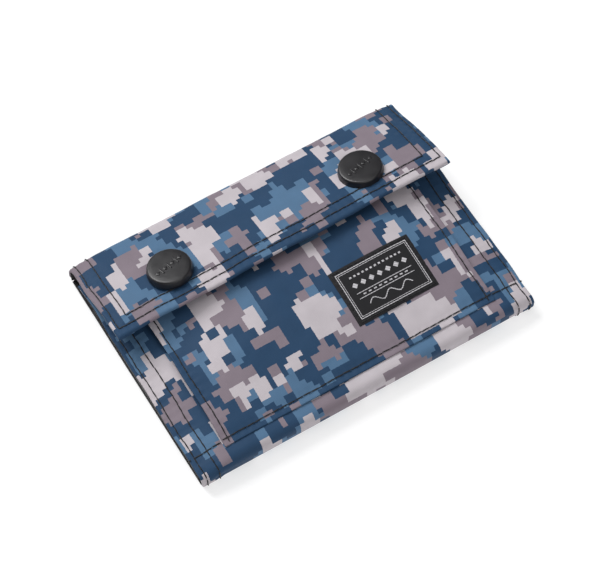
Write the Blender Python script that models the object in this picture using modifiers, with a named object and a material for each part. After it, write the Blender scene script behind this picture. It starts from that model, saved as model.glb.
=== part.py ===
"""Trifold wallet: two cloth panels and a snap-down flap, joined by two fold strips.

The wallet lies closed on its back.  X runs along the folds, Y from the bottom fold to the
top fold, and Z up through the stack.  The origin is on the table, under the middle.
All lengths are in metres.
"""

import math

import bmesh
import bpy
from mathutils import Matrix, Vector

MM = 0.001

# Driving dimensions
HALF_WIDTH = 60.5 * MM  # cloth panels, from the middle to each side
HALF_DEPTH = 42.7 * MM  # from the middle to the outside of each fold
PANEL_HEIGHT = 8.4 * MM  # top of the front panel above the table
CLOTH = 0.8 * MM  # backed nylon
LINING = 0.4 * MM
POCKET_CLOTH = 0.35 * MM  # thin lining cloth of the card pockets
FILM = 0.25 * MM
CLEARANCE = 0.3 * MM  # left between neighbours
CREASE_DEPTH = 0.5 * MM  # a crease lies this far inside the outer face of the cloth
CREASE_RELIEF = 1.0 * MM  # cloth stops this far short of a crease

# Flap
FLAP_FOLD_HEIGHT = 9.0 * MM  # outer face above the table, at the fold
FLAP_EDGE_HEIGHT = 18.0 * MM  # outer face above the table, at the free edge
FLAP_EDGE_Y = 8.0 * MM
FLAP_CROWN = 0.9 * MM  # rise of the arc above its chord
FLAP_CLOTH = 0.7 * MM
INTERLINING = 0.3 * MM

# Raised pocket on the front panel
FRONT_TOP_Y = 36.0 * MM
POCKET_HALF_WIDTH = 49.0 * MM
POCKET_BOTTOM_Y = -37.0 * MM
POCKET_SEAM_Y = -33.5 * MM
POCKET_CREST_Y = 4.0 * MM
POCKET_MOUTH_Y = 27.0 * MM
POCKET_CREST_RADIUS = 22.0 * MM
POCKET_HEM_TOP = PANEL_HEIGHT + CLEARANCE + CLOTH
GUSSET_X = 45.0 * MM
GUSSET_WALL = 0.5 * MM
GUSSET_START_Y = -28.0 * MM
GUSSET_END_Y = 22.0 * MM

# Woven label on the pocket
LABEL_LEFT_X = 6.7 * MM
LABEL_RIGHT_X = 35.9 * MM
LABEL_BOTTOM_Y = -24.4 * MM
LABEL_TOP_Y = -4.9 * MM

# Snap fasteners
SNAP_X = 35.0 * MM
SNAP_Y = 21.0 * MM
CAP_RADIUS = 7.5 * MM
CAP_HEIGHT = 2.9 * MM
STEM_RADIUS = 1.3 * MM
SOCKET_RADIUS = 4.8 * MM
SOCKET_BORE = 2.6 * MM
SOCKET_HEIGHT = 0.9 * MM
STUD_RADIUS = 4.0 * MM
STUD_BALL_RADIUS = 1.9 * MM
STUD_BALL_HEIGHT = 0.6 * MM
POST_RADIUS = 3.5 * MM
FLANGE = 0.4 * MM

# Inside of the wallet
LINING_INSET = 0.3 * MM
POCKET_INSET = 0.6 * MM
WINDOW_HALF_WIDTH = 42.0 * MM
WINDOW_BOTTOM_Y = -27.0 * MM
WINDOW_TOP_Y = 23.0 * MM
WINDOW_BORDER = 6.0 * MM

SHEET_STEPS = 24
ROUND_STEPS = 32

# Creases, as (y, z) of an axis along X
BACK_BOTTOM_CREASE = (-HALF_DEPTH + CREASE_DEPTH, CREASE_DEPTH)
FRONT_CREASE = (-HALF_DEPTH + CREASE_DEPTH, PANEL_HEIGHT - CREASE_DEPTH)
BACK_TOP_CREASE = (HALF_DEPTH - CREASE_DEPTH, CREASE_DEPTH)
FLAP_CREASE = (HALF_DEPTH - CREASE_DEPTH, FLAP_FOLD_HEIGHT - CREASE_DEPTH)


# ---------------------------------------------------------------- scene and collections

def clear_scene():
    """Remove every object that the scene starts with."""
    for item in list(bpy.data.objects):
        bpy.data.objects.remove(item, do_unlink=True)


def new_collection(name):
    """Return a new collection that is linked to the scene."""
    collection = bpy.data.collections.new(name)
    bpy.context.scene.collection.children.link(collection)
    return collection


def new_material(name, colour, roughness, metallic=0.0, alpha=1.0):
    """Return a Principled material."""
    material = bpy.data.materials.new(name)
    material.use_nodes = True
    shader = material.node_tree.nodes["Principled BSDF"]
    shader.inputs["Base Color"].default_value = (*colour, 1.0)
    shader.inputs["Roughness"].default_value = roughness
    shader.inputs["Metallic"].default_value = metallic
    shader.inputs["Alpha"].default_value = alpha
    material.diffuse_color = (*colour, alpha)
    return material


clear_scene()
WALLET = new_collection("trifold_wallet")
CUTTERS = new_collection("cutters")

CAMO_NYLON = new_material("camo_nylon", (0.10, 0.19, 0.29), 0.62)
BLACK_LINING = new_material("black_lining", (0.012, 0.012, 0.014), 0.70)
STIFF_BOARD = new_material("interlining", (0.55, 0.54, 0.50), 0.85)
BLACK_SNAP = new_material("black_snap", (0.015, 0.014, 0.014), 0.38)
WOVEN_LABEL = new_material("woven_label", (0.02, 0.02, 0.022), 0.75)
CLEAR_FILM = new_material("clear_film", (0.85, 0.88, 0.90), 0.12, alpha=0.35)


def new_crease(name, crease):
    """Return an empty on a crease, which carries the pieces that turn about it."""
    empty = bpy.data.objects.new(name, None)
    empty.empty_display_size = 0.01
    empty.location = (0.0, *crease)
    WALLET.objects.link(empty)
    return empty


def finish_piece(piece, material, carrier):
    """Give a piece its material, collection and carrier."""
    if not piece.data.materials:
        piece.data.materials.append(material)
    for collection in list(piece.users_collection):
        collection.objects.unlink(piece)
    WALLET.objects.link(piece)
    if carrier is not None:
        piece.parent = carrier
        piece.matrix_parent_inverse = Matrix.Translation(-Vector(carrier.location))
    return piece


# ---------------------------------------------------------------- shapes

def new_mesh_object(name, working_mesh):
    """Turn a bmesh into an object, and free the bmesh."""
    mesh = bpy.data.meshes.new(name)
    working_mesh.to_mesh(mesh)
    working_mesh.free()
    return bpy.data.objects.new(name, mesh)


def box(name, x_range, y_range, z_range, material, carrier):
    """Return a flat panel between three pairs of limits."""
    limits = (x_range, y_range, z_range)
    centre = [(low + high) / 2 for low, high in limits]
    size = [high - low for low, high in limits]
    working_mesh = bmesh.new()
    bmesh.ops.create_cube(working_mesh, size=1.0)
    bmesh.ops.scale(working_mesh, vec=size, verts=working_mesh.verts)
    piece = new_mesh_object(name, working_mesh)
    piece.location = centre
    return finish_piece(piece, material, carrier)


def curved_sheet(name, x_range, surface, thickness, material, carrier, steps=SHEET_STEPS):
    """Return a sheet whose outer face follows surface(fraction), a point (y, z).

    The fraction runs from 0 at the low-Y end to 1 at the high-Y end, and the thickness
    lies below the outer face.
    """
    working_mesh = bmesh.new()
    bmesh.ops.create_grid(working_mesh, x_segments=1, y_segments=steps, size=1.0)
    for vertex in working_mesh.verts:
        across = (vertex.co.x + 1.0) / 2
        y, z = surface((vertex.co.y + 1.0) / 2)
        vertex.co = (x_range[0] + (x_range[1] - x_range[0]) * across, y, z)
    piece = new_mesh_object(name, working_mesh)
    wall = piece.modifiers.new("thickness", "SOLIDIFY")
    wall.thickness = thickness
    wall.offset = -1.0
    wall.use_even_offset = True
    return finish_piece(piece, material, carrier)


def turned(name, profile, placement, material, carrier):
    """Return a round piece from a profile of (radius, height) points, top to bottom."""
    working_mesh = bmesh.new()
    points = [working_mesh.verts.new((radius, 0.0, height)) for radius, height in profile]
    for first, second in zip(points, points[1:]):
        working_mesh.edges.new((first, second))
    if profile[0][0] > 0:
        working_mesh.edges.new((points[-1], points[0]))
    piece = new_mesh_object(name, working_mesh)
    screw = piece.modifiers.new("turn", "SCREW")
    screw.steps = ROUND_STEPS
    screw.render_steps = ROUND_STEPS
    screw.use_merge_vertices = True
    screw.merge_threshold = 0.00001
    screw.use_smooth_shade = True
    piece.matrix_world = placement
    return finish_piece(piece, material, carrier)


def drill(piece, placement, radius):
    """Cut a round hole through a sheet, along the axis of a placement."""
    working_mesh = bmesh.new()
    bmesh.ops.create_cone(working_mesh, cap_ends=True, segments=ROUND_STEPS,
                          radius1=radius, radius2=radius, depth=30 * MM)
    cutter = new_mesh_object(piece.name + "_hole", working_mesh)
    cutter.matrix_world = placement
    cutter.hide_render = True
    cutter.display_type = "WIRE"
    CUTTERS.objects.link(cutter)
    cut = piece.modifiers.new("hole", "BOOLEAN")
    cut.operation = "DIFFERENCE"
    cut.solver = "EXACT"
    cut.object = cutter


# ---------------------------------------------------------------- curves of the soft parts

class FlapArc:
    """The arc of the flap's outer face, from its free edge to its fold."""

    def __init__(self):
        free_edge = Vector((FLAP_EDGE_Y, FLAP_EDGE_HEIGHT))
        fold = Vector((FLAP_CREASE[0], FLAP_FOLD_HEIGHT))
        chord = fold - free_edge
        self.radius = (chord.length ** 2 / 4 + FLAP_CROWN ** 2) / (2 * FLAP_CROWN)
        up = Vector((-chord.y, chord.x)).normalized()
        self.centre = (free_edge + fold) / 2 + up * (FLAP_CROWN - self.radius)
        self.start = self.angle_of(free_edge)
        self.end = self.angle_of(fold)
        self.length = self.radius * (self.start - self.end)

    def angle_of(self, point):
        """Return the angle of a point about the centre, from +Y."""
        offset = point - self.centre
        return math.atan2(offset.y, offset.x)

    def point(self, fraction, depth=0.0):
        """Return (y, z) at a fraction of the arc and a depth below the outer face."""
        angle = self.start + (self.end - self.start) * fraction
        reach = self.radius - depth
        return (self.centre.x + reach * math.cos(angle), self.centre.y + reach * math.sin(angle))

    def fraction_at(self, y):
        """Return the fraction of the arc whose outer face is at y."""
        angle = math.acos((y - self.centre.x) / self.radius)
        return (angle - self.start) / (self.end - self.start)

    def slope_at(self, fraction):
        """Return the fall of the arc towards +Y, in radians."""
        angle = self.start + (self.end - self.start) * fraction
        return math.pi / 2 - angle

    def layer(self, depth):
        """Return a surface for curved_sheet at a depth, short of the crease."""
        reach = 1.0 - CREASE_RELIEF / self.length
        return lambda fraction: self.point(fraction * reach, depth)


FLAP = FlapArc()
LINING_DEPTH = FLAP_CLOTH + CLEARANCE + INTERLINING + CLEARANCE
FLAP_THICKNESS = LINING_DEPTH + LINING
SNAP_SLOPE = FLAP.slope_at(FLAP.fraction_at(SNAP_Y))

# Heights along the snap's axis, below the flap's outer face
SOCKET_TOP = -(FLAP_THICKNESS + CLEARANCE)
SOCKET_BOTTOM = SOCKET_TOP - SOCKET_HEIGHT
STUD_TOP = SOCKET_BOTTOM - CLEARANCE
STUD_BOTTOM = STUD_TOP - FLANGE
POCKET_TOP_AT_SNAP = STUD_BOTTOM - CLEARANCE
POST_TOP = POCKET_TOP_AT_SNAP - CLOTH - CLEARANCE


def snap_placement(x):
    """Return the placement of a snap: its origin on the flap, its Z axis out of it."""
    y, z = FLAP.point(FLAP.fraction_at(SNAP_Y))
    return Matrix.Translation((x, y, z)) @ Matrix.Rotation(-SNAP_SLOPE, 4, "X")


def pocket_height(y):
    """Return the height of the raised pocket's outer face.

    It is flat at the hem, rises in a quarter sine to the crest, turns over in an arc
    and then falls in line with the flap to its mouth.
    """
    snap_y, snap_z = FLAP.point(FLAP.fraction_at(SNAP_Y), -POCKET_TOP_AT_SNAP)
    turn_y = POCKET_CREST_Y + POCKET_CREST_RADIUS * math.sin(SNAP_SLOPE)
    turn_z = snap_z + (snap_y - turn_y) * math.tan(SNAP_SLOPE)
    crest_z = turn_z + POCKET_CREST_RADIUS * (1 - math.cos(SNAP_SLOPE))
    if y <= POCKET_SEAM_Y:
        return POCKET_HEM_TOP
    if y <= POCKET_CREST_Y:
        rise = (y - POCKET_SEAM_Y) / (POCKET_CREST_Y - POCKET_SEAM_Y)
        return POCKET_HEM_TOP + (crest_z - POCKET_HEM_TOP) * math.sin(rise * math.pi / 2)
    if y <= turn_y:
        along = y - POCKET_CREST_Y
        drop = POCKET_CREST_RADIUS - math.sqrt(POCKET_CREST_RADIUS ** 2 - along ** 2)
        return crest_z - drop
    return turn_z - (y - turn_y) * math.tan(SNAP_SLOPE)


def pocket_surface(bottom_y, top_y, lift=0.0):
    """Return a surface for curved_sheet, a lift above the pocket's outer face."""
    def surface(fraction):
        y = bottom_y + (top_y - bottom_y) * fraction
        return (y, pocket_height(y) + lift)
    return surface


# ---------------------------------------------------------------- sub-assemblies

def both_ways(reach):
    """Return the limits of a piece that is centred on X."""
    return (-reach, reach)


def build_back():
    """Build the back panel, which lies on the table."""
    end_y = HALF_DEPTH - CREASE_DEPTH - CREASE_RELIEF
    box("back_cover", both_ways(HALF_WIDTH), both_ways(end_y), (0.0, CLOTH),
        CAMO_NYLON, None)
    base = CLOTH + CLEARANCE
    lining_x = both_ways(HALF_WIDTH - LINING_INSET)
    box("back_lining", lining_x, both_ways(end_y - 0.2 * MM), (base, base + LINING),
        BLACK_LINING, None)
    base += LINING + 0.4 * MM
    box("back_inner_panel", lining_x, (-40 * MM, 38 * MM), (base, base + LINING),
        BLACK_LINING, None)
    base += LINING + CLEARANCE
    for number, top_y in enumerate((28 * MM, 18 * MM, 8 * MM), start=1):
        box(f"card_pocket_{number}", both_ways(HALF_WIDTH - POCKET_INSET),
            (-39.5 * MM, top_y), (base, base + POCKET_CLOTH), BLACK_LINING, None)
        base += POCKET_CLOTH + CLEARANCE


def build_fold(name, side, crease_height, carrier):
    """Build a fold strip and its lining, on the -Y (side -1) or +Y (side 1) edge."""
    outer = sorted((side * HALF_DEPTH, side * (HALF_DEPTH - CLOTH)))
    box(name, both_ways(HALF_WIDTH), outer,
        (CREASE_DEPTH + 0.4 * MM, crease_height - 0.4 * MM), CAMO_NYLON, carrier)
    lining_y = HALF_DEPTH - CLOTH - CLEARANCE
    inner = sorted((side * lining_y, side * (lining_y - 0.3 * MM)))
    box(name + "_lining", both_ways(HALF_WIDTH - LINING_INSET), inner,
        (CREASE_DEPTH + 1.1 * MM, crease_height - 1.0 * MM), BLACK_LINING, carrier)


def build_front(carrier):
    """Build the front panel with the window on its inner side."""
    start_y = -(HALF_DEPTH - CREASE_DEPTH - CREASE_RELIEF)
    top = PANEL_HEIGHT
    box("front_cover", both_ways(HALF_WIDTH), (start_y, FRONT_TOP_Y),
        (top - CLOTH, top), CAMO_NYLON, carrier)
    top -= CLOTH + CLEARANCE
    lining_x = both_ways(HALF_WIDTH - LINING_INSET)
    box("front_lining", lining_x, (start_y + 0.2 * MM, FRONT_TOP_Y - 0.5 * MM),
        (top - 0.3 * MM, top), BLACK_LINING, carrier)
    top -= 0.3 * MM + CLEARANCE
    box("front_inner_panel", lining_x, (-40 * MM, FRONT_TOP_Y - 2 * MM),
        (top - 0.3 * MM, top), BLACK_LINING, carrier)
    top -= 0.3 * MM + CLEARANCE
    film_x = WINDOW_HALF_WIDTH + WINDOW_BORDER / 2
    box("id_window_film", both_ways(film_x),
        (WINDOW_BOTTOM_Y - WINDOW_BORDER / 2, WINDOW_TOP_Y + WINDOW_BORDER / 2),
        (top - FILM, top), CLEAR_FILM, carrier)
    top -= FILM + CLEARANCE
    build_window_frame(top, carrier)


def build_window_frame(top, carrier):
    """Build the lining-cloth frame around the window."""
    frame = box("id_window_frame", both_ways(HALF_WIDTH - POCKET_INSET),
                (-39.5 * MM, WINDOW_TOP_Y + WINDOW_BORDER), (top - POCKET_CLOTH, top),
                BLACK_LINING, carrier)
    working_mesh = bmesh.new()
    bmesh.ops.create_cube(working_mesh, size=1.0)
    size = (2 * WINDOW_HALF_WIDTH, WINDOW_TOP_Y - WINDOW_BOTTOM_Y, 5 * MM)
    bmesh.ops.scale(working_mesh, vec=size, verts=working_mesh.verts)
    corners = [edge for edge in working_mesh.edges
               if abs(edge.verts[0].co.z - edge.verts[1].co.z) > MM]
    bmesh.ops.bevel(working_mesh, geom=corners, offset=4 * MM, affect="EDGES",
                    segments=4, profile=0.5, material=-1)
    cutter = new_mesh_object("window_cutter", working_mesh)
    cutter.location = (0.0, (WINDOW_TOP_Y + WINDOW_BOTTOM_Y) / 2, top)
    cutter.hide_render = True
    cutter.display_type = "WIRE"
    CUTTERS.objects.link(cutter)
    cut = frame.modifiers.new("window", "BOOLEAN")
    cut.operation = "DIFFERENCE"
    cut.solver = "EXACT"
    cut.object = cutter


def build_gusset(name, side, carrier):
    """Build one side wall of the raised pocket, as tall as the space under it."""
    floor = PANEL_HEIGHT + CLEARANCE
    working_mesh = bmesh.new()
    bmesh.ops.create_grid(working_mesh, x_segments=SHEET_STEPS, y_segments=1, size=1.0)
    for vertex in working_mesh.verts:
        y = GUSSET_START_Y + (GUSSET_END_Y - GUSSET_START_Y) * (vertex.co.x + 1.0) / 2
        ceiling = pocket_height(y) - CLOTH - 2 * CLEARANCE
        z = ceiling if vertex.co.y > 0 else floor
        vertex.co = (side * GUSSET_X, y, z)
    piece = new_mesh_object(name, working_mesh)
    wall = piece.modifiers.new("thickness", "SOLIDIFY")
    wall.thickness = GUSSET_WALL
    wall.offset = 0.0
    finish_piece(piece, CAMO_NYLON, carrier)


def build_pocket(carrier):
    """Build the raised pocket on the front panel, with its label and its studs."""
    panel = curved_sheet("pocket_panel", both_ways(POCKET_HALF_WIDTH),
                         pocket_surface(POCKET_BOTTOM_Y, POCKET_MOUTH_Y), CLOTH,
                         CAMO_NYLON, carrier, steps=32)
    build_gusset("pocket_gusset_left", -1, carrier)
    build_gusset("pocket_gusset_right", 1, carrier)
    label_lift = CLEARANCE + LINING
    curved_sheet("woven_label", (LABEL_LEFT_X, LABEL_RIGHT_X),
                 pocket_surface(LABEL_BOTTOM_Y, LABEL_TOP_Y, label_lift), LINING,
                 WOVEN_LABEL, carrier, steps=12)
    stud = [(0.0, STUD_TOP + STUD_BALL_HEIGHT),
            (STUD_BALL_RADIUS * 0.8, STUD_TOP + STUD_BALL_HEIGHT),
            (STUD_BALL_RADIUS, STUD_TOP + STUD_BALL_HEIGHT * 0.6),
            (STUD_BALL_RADIUS * 0.9, STUD_TOP),
            (STUD_RADIUS, STUD_TOP),
            (STUD_RADIUS, STUD_BOTTOM),
            (0.0, STUD_BOTTOM)]
    post = [(0.0, STUD_BOTTOM - CLEARANCE),
            (STEM_RADIUS, STUD_BOTTOM - CLEARANCE),
            (STEM_RADIUS, POST_TOP),
            (POST_RADIUS, POST_TOP),
            (POST_RADIUS, POST_TOP - FLANGE),
            (0.0, POST_TOP - FLANGE)]
    for side, label in ((-1, "left"), (1, "right")):
        placement = snap_placement(side * SNAP_X)
        drill(panel, placement, STEM_RADIUS + CLEARANCE)
        turned("snap_stud_" + label, stud, placement, BLACK_SNAP, carrier)
        turned("snap_post_" + label, post, placement, BLACK_SNAP, carrier)


def build_flap(carrier):
    """Build the flap's three layers, with its snap caps and sockets."""
    layers = (
        curved_sheet("flap_outer", both_ways(HALF_WIDTH), FLAP.layer(0.0), FLAP_CLOTH,
                     CAMO_NYLON, carrier, steps=12),
        curved_sheet("flap_interlining", both_ways(HALF_WIDTH - 1.0 * MM),
                     FLAP.layer(FLAP_CLOTH + CLEARANCE), INTERLINING, STIFF_BOARD,
                     carrier, steps=12),
        curved_sheet("flap_lining", both_ways(HALF_WIDTH - LINING_INSET),
                     FLAP.layer(LINING_DEPTH), LINING, BLACK_LINING, carrier, steps=12),
    )
    crown = CLEARANCE + CAP_HEIGHT
    cap = [(0.0, crown),
           (CAP_RADIUS * 0.55, crown - 0.08 * MM),
           (CAP_RADIUS * 0.86, crown - 0.28 * MM),
           (CAP_RADIUS * 0.96, crown - 0.60 * MM),
           (CAP_RADIUS, crown - 1.10 * MM),
           (CAP_RADIUS * 0.98, CLEARANCE),
           (STEM_RADIUS, CLEARANCE),
           (STEM_RADIUS, SOCKET_TOP - CLEARANCE),
           (0.0, SOCKET_TOP - CLEARANCE)]
    socket = [(SOCKET_BORE, SOCKET_TOP),
              (SOCKET_RADIUS, SOCKET_TOP),
              (SOCKET_RADIUS, SOCKET_BOTTOM),
              (SOCKET_BORE, SOCKET_BOTTOM)]
    for side, label in ((-1, "left"), (1, "right")):
        placement = snap_placement(side * SNAP_X)
        for layer in layers:
            drill(layer, placement, STEM_RADIUS + CLEARANCE)
        turned("snap_cap_" + label, cap, placement, BLACK_SNAP, carrier)
        turned("snap_socket_" + label, socket, placement, BLACK_SNAP, carrier)


def build_wallet():
    """Build every sub-assembly on its own crease."""
    bottom_fold = new_crease("bottom_fold_crease", BACK_BOTTOM_CREASE)
    front = new_crease("front_crease", FRONT_CREASE)
    top_fold = new_crease("top_fold_crease", BACK_TOP_CREASE)
    flap = new_crease("flap_crease", FLAP_CREASE)
    build_back()
    build_fold("bottom_fold", -1, FRONT_CREASE[1], bottom_fold)
    build_front(front)
    build_pocket(front)
    build_fold("top_fold", 1, FLAP_CREASE[1], top_fold)
    build_flap(flap)


build_wallet()
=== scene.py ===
"""Looks of a nylon trifold wallet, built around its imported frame.

The outer cloth is one strip that runs from the front panel's top edge, round the bottom
fold, along the back, round the top fold and over the flap.  Every sheet is a grid laid on a
path, with turned hems, puckered seams and real stitches.  Lengths are in metres.
"""

from __future__ import annotations

import logging
import math
import random
from dataclasses import dataclass, field
from enum import Enum
from typing import Callable, Iterable, Protocol, Sequence

import bmesh
import bpy
import numpy as np
from mathutils import Matrix, Vector

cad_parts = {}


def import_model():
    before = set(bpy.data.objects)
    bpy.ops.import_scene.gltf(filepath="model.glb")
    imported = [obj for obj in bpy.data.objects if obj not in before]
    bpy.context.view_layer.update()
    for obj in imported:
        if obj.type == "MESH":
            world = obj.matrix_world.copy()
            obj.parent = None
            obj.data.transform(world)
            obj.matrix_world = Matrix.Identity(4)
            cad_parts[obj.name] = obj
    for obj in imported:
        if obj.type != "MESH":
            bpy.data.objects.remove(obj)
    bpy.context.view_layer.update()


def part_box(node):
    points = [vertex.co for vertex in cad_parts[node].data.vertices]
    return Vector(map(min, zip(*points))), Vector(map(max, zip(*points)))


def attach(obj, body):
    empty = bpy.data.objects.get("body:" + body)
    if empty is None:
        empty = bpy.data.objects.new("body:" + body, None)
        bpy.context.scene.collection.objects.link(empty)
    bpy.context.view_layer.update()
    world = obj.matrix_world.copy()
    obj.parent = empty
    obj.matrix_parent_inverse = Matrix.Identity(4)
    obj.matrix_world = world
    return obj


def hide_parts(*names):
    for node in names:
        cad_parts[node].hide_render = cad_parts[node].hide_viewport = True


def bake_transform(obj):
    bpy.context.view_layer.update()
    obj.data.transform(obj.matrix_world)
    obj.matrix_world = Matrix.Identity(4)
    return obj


LOG = logging.getLogger("wallet")

MM = 0.001
CLOTH_MAP = "cloth"
GRID = 0.7 * MM
COARSE_GRID = 1.0 * MM
STITCH_PITCH = 2.9 * MM
HEM_EASE = 7.0 * MM
HEM_STEPS = 7
LONG_WAVE = 22 * MM
SHORT_WAVE = 7 * MM
SHORT_SHARE = 0.35
RIPPLE_WAVES = 7
RIPPLE_SPREAD = (0.7, 1.8)
RIPPLE_PHASE = 6.3
STRAIGHT = 1e-9
PRESSED_SHARE = 0.19
PRESSED_FROM = 50 * MM
PRESSED_REACH = 10.5 * MM

Array = np.ndarray
BMesh = bmesh.types.BMesh
Piece = bpy.types.Object
Point = tuple[float, float, float]
Profile = Sequence[tuple[float, float]]
Relief = Callable[[Array, Array], Array]
Socket = bpy.types.NodeSocket
Tint = tuple[float, float, float, float]
Window = tuple[float, float, float, float]


# ------------------------------------------------------------------------------ materials


class Shader:
    """A small helper that adds and links the nodes of one material."""

    def __init__(self, name: str) -> None:
        """Start a material with an empty Principled shader.

        Args:
            name: the material's name.
        """
        self.material = bpy.data.materials.new(name)
        self.material.use_nodes = True
        self.nodes = self.material.node_tree.nodes
        self.links = self.material.node_tree.links
        self.surface = self.nodes["Principled BSDF"]

    def add(self, kind: str, inputs: dict[int | str, object] | None = None,
            **settings: object) -> bpy.types.Node:
        """Add a node.

        Args:
            kind: the node's type, without its ShaderNode prefix.
            inputs: values or sockets for its inputs, by name or number.
            settings: the node's own settings.

        Returns:
            The new node.
        """
        node = self.nodes.new("ShaderNode" + kind)
        for name, value in settings.items():
            setattr(node, name, value)
        for name, value in (inputs or {}).items():
            self.feed(node.inputs[name], value)
        return node

    def feed(self, socket: Socket, value: object) -> None:
        """Link a socket to another one, or give it a value.

        Args:
            socket: the input that is fed.
            value: the socket or value that it takes.
        """
        if isinstance(value, Socket):
            self.links.new(value, socket)
        else:
            socket.default_value = value

    def sum(self, operation: str, *values: object, clamp: bool = False) -> Socket:
        """Return the result of one Math node."""
        node = self.add("Math", dict(enumerate(values)), operation=operation, use_clamp=clamp)
        return node.outputs[0]

    def vector(self, operation: str, *values: object) -> Socket:
        """Return the vector result of one Vector Math node.

        Args:
            operation: what the node does.
            values: the sockets or values that it works on.

        Returns:
            The node's vector socket.
        """
        node = self.add("VectorMath", operation=operation)
        for number, value in enumerate(values):
            self.feed(node.inputs[3 if operation == "SCALE" and number == 1 else number], value)
        return node.outputs[0]

    def blend(self, share: object, first: object, second: object) -> Socket:
        """Return a mix of two colours.

        Args:
            share: how much of the second colour to take.
            first: the first colour.
            second: the second colour.

        Returns:
            The mixed colour's socket.
        """
        node = self.add("Mix", data_type="RGBA")
        self.feed(node.inputs[0], share)
        self.feed(node.inputs[6], first)
        self.feed(node.inputs[7], second)
        return node.outputs[2]

    def ramp(self, value: object, gain: float, base: float) -> Socket:
        """Return gain times a value, plus base."""
        return self.sum("MULTIPLY_ADD", value, gain, base)

    def map(self) -> Socket:
        """Return the coordinates of a piece's own cloth map."""
        return self.add("UVMap", uv_map=CLOTH_MAP).outputs[0]

    def place(self) -> Socket:
        """Return the Object coordinates."""
        return self.add("TexCoord").outputs["Object"]

    def cloud(self, scale: float, detail: float) -> Socket:
        """Return soft noise that lies in the piece, from 0 to 1."""
        inputs = {"Vector": self.place(), "Scale": scale, "Detail": detail}
        return self.add("TexNoise", inputs).outputs[0]

    def set(self, **values: object) -> None:
        """Set the Principled shader's inputs, with _ for a space in their names."""
        for name, value in values.items():
            self.feed(self.surface.inputs[name.replace("_", " ")], value)

    def bump(self, height: object, distance: float, strength: float = 1.0) -> None:
        """Link a height in metres times distance to the shader's normal."""
        node = self.add("Bump", {"Strength": strength, "Distance": distance, "Height": height})
        self.feed(self.surface.inputs["Normal"], node.outputs[0])


def to_linear(value: float) -> float:
    """Turn one display value, from 0 to 255, into a linear one, from 0 to 1."""
    share = value / 255
    return share / 12.92 if share <= 0.04045 else ((share + 0.055) / 1.055) ** 2.4


def colour(red: float, green: float, blue: float) -> Tint:
    """Turn a display colour, from 0 to 255, into a linear one."""
    return (to_linear(red), to_linear(green), to_linear(blue), 1.0)


@dataclass(frozen=True)
class WovenFinish:
    """A plain weave, as a bump and a shade between its threads."""

    pitch: float = 0.42 * MM
    depth: float = 0.05 * MM

    def threads(self, shader: Shader) -> Socket:
        """Return the height of the weave, from 0 to 1.

        Args:
            shader: the material that the nodes are added to.

        Returns:
            The height's socket.
        """
        turns = shader.vector("SCALE", shader.map(), 2 * math.pi / self.pitch)
        split = shader.add("SeparateXYZ", {0: turns})
        half_x = shader.sum("MULTIPLY", split.outputs[0], 0.5)
        half_y = shader.sum("MULTIPLY", split.outputs[1], 0.5)
        warp = shader.sum("ABSOLUTE", shader.sum("SINE", half_x))
        weft = shader.sum("ABSOLUTE", shader.sum("SINE", half_y))
        over = shader.sum("MULTIPLY", shader.sum("SINE", split.outputs[0]),
                          shader.sum("SINE", split.outputs[1]))
        swap = shader.ramp(over, gain=0.5, base=0.5)
        return shader.sum("ADD", shader.sum("MULTIPLY", warp, swap),
                          shader.sum("MULTIPLY", weft, shader.sum("SUBTRACT", 1.0, swap)))


@dataclass(frozen=True)
class Patches:
    """One colour of the printed blocks.

    Attributes:
        tint: the printed colour.
        cover: how much of the noise the patches take, from 0 to 1.
        size: the patches' size across and along, in blocks.
        shift: where the pattern is read from.
        ragged: how far pairs of blocks stray at the patches' edges.
        squares: the share of lone squares, two blocks wide.
    """

    tint: Tint
    cover: float
    size: tuple[float, float]
    shift: tuple[float, float]
    ragged: float
    squares: float


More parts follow.
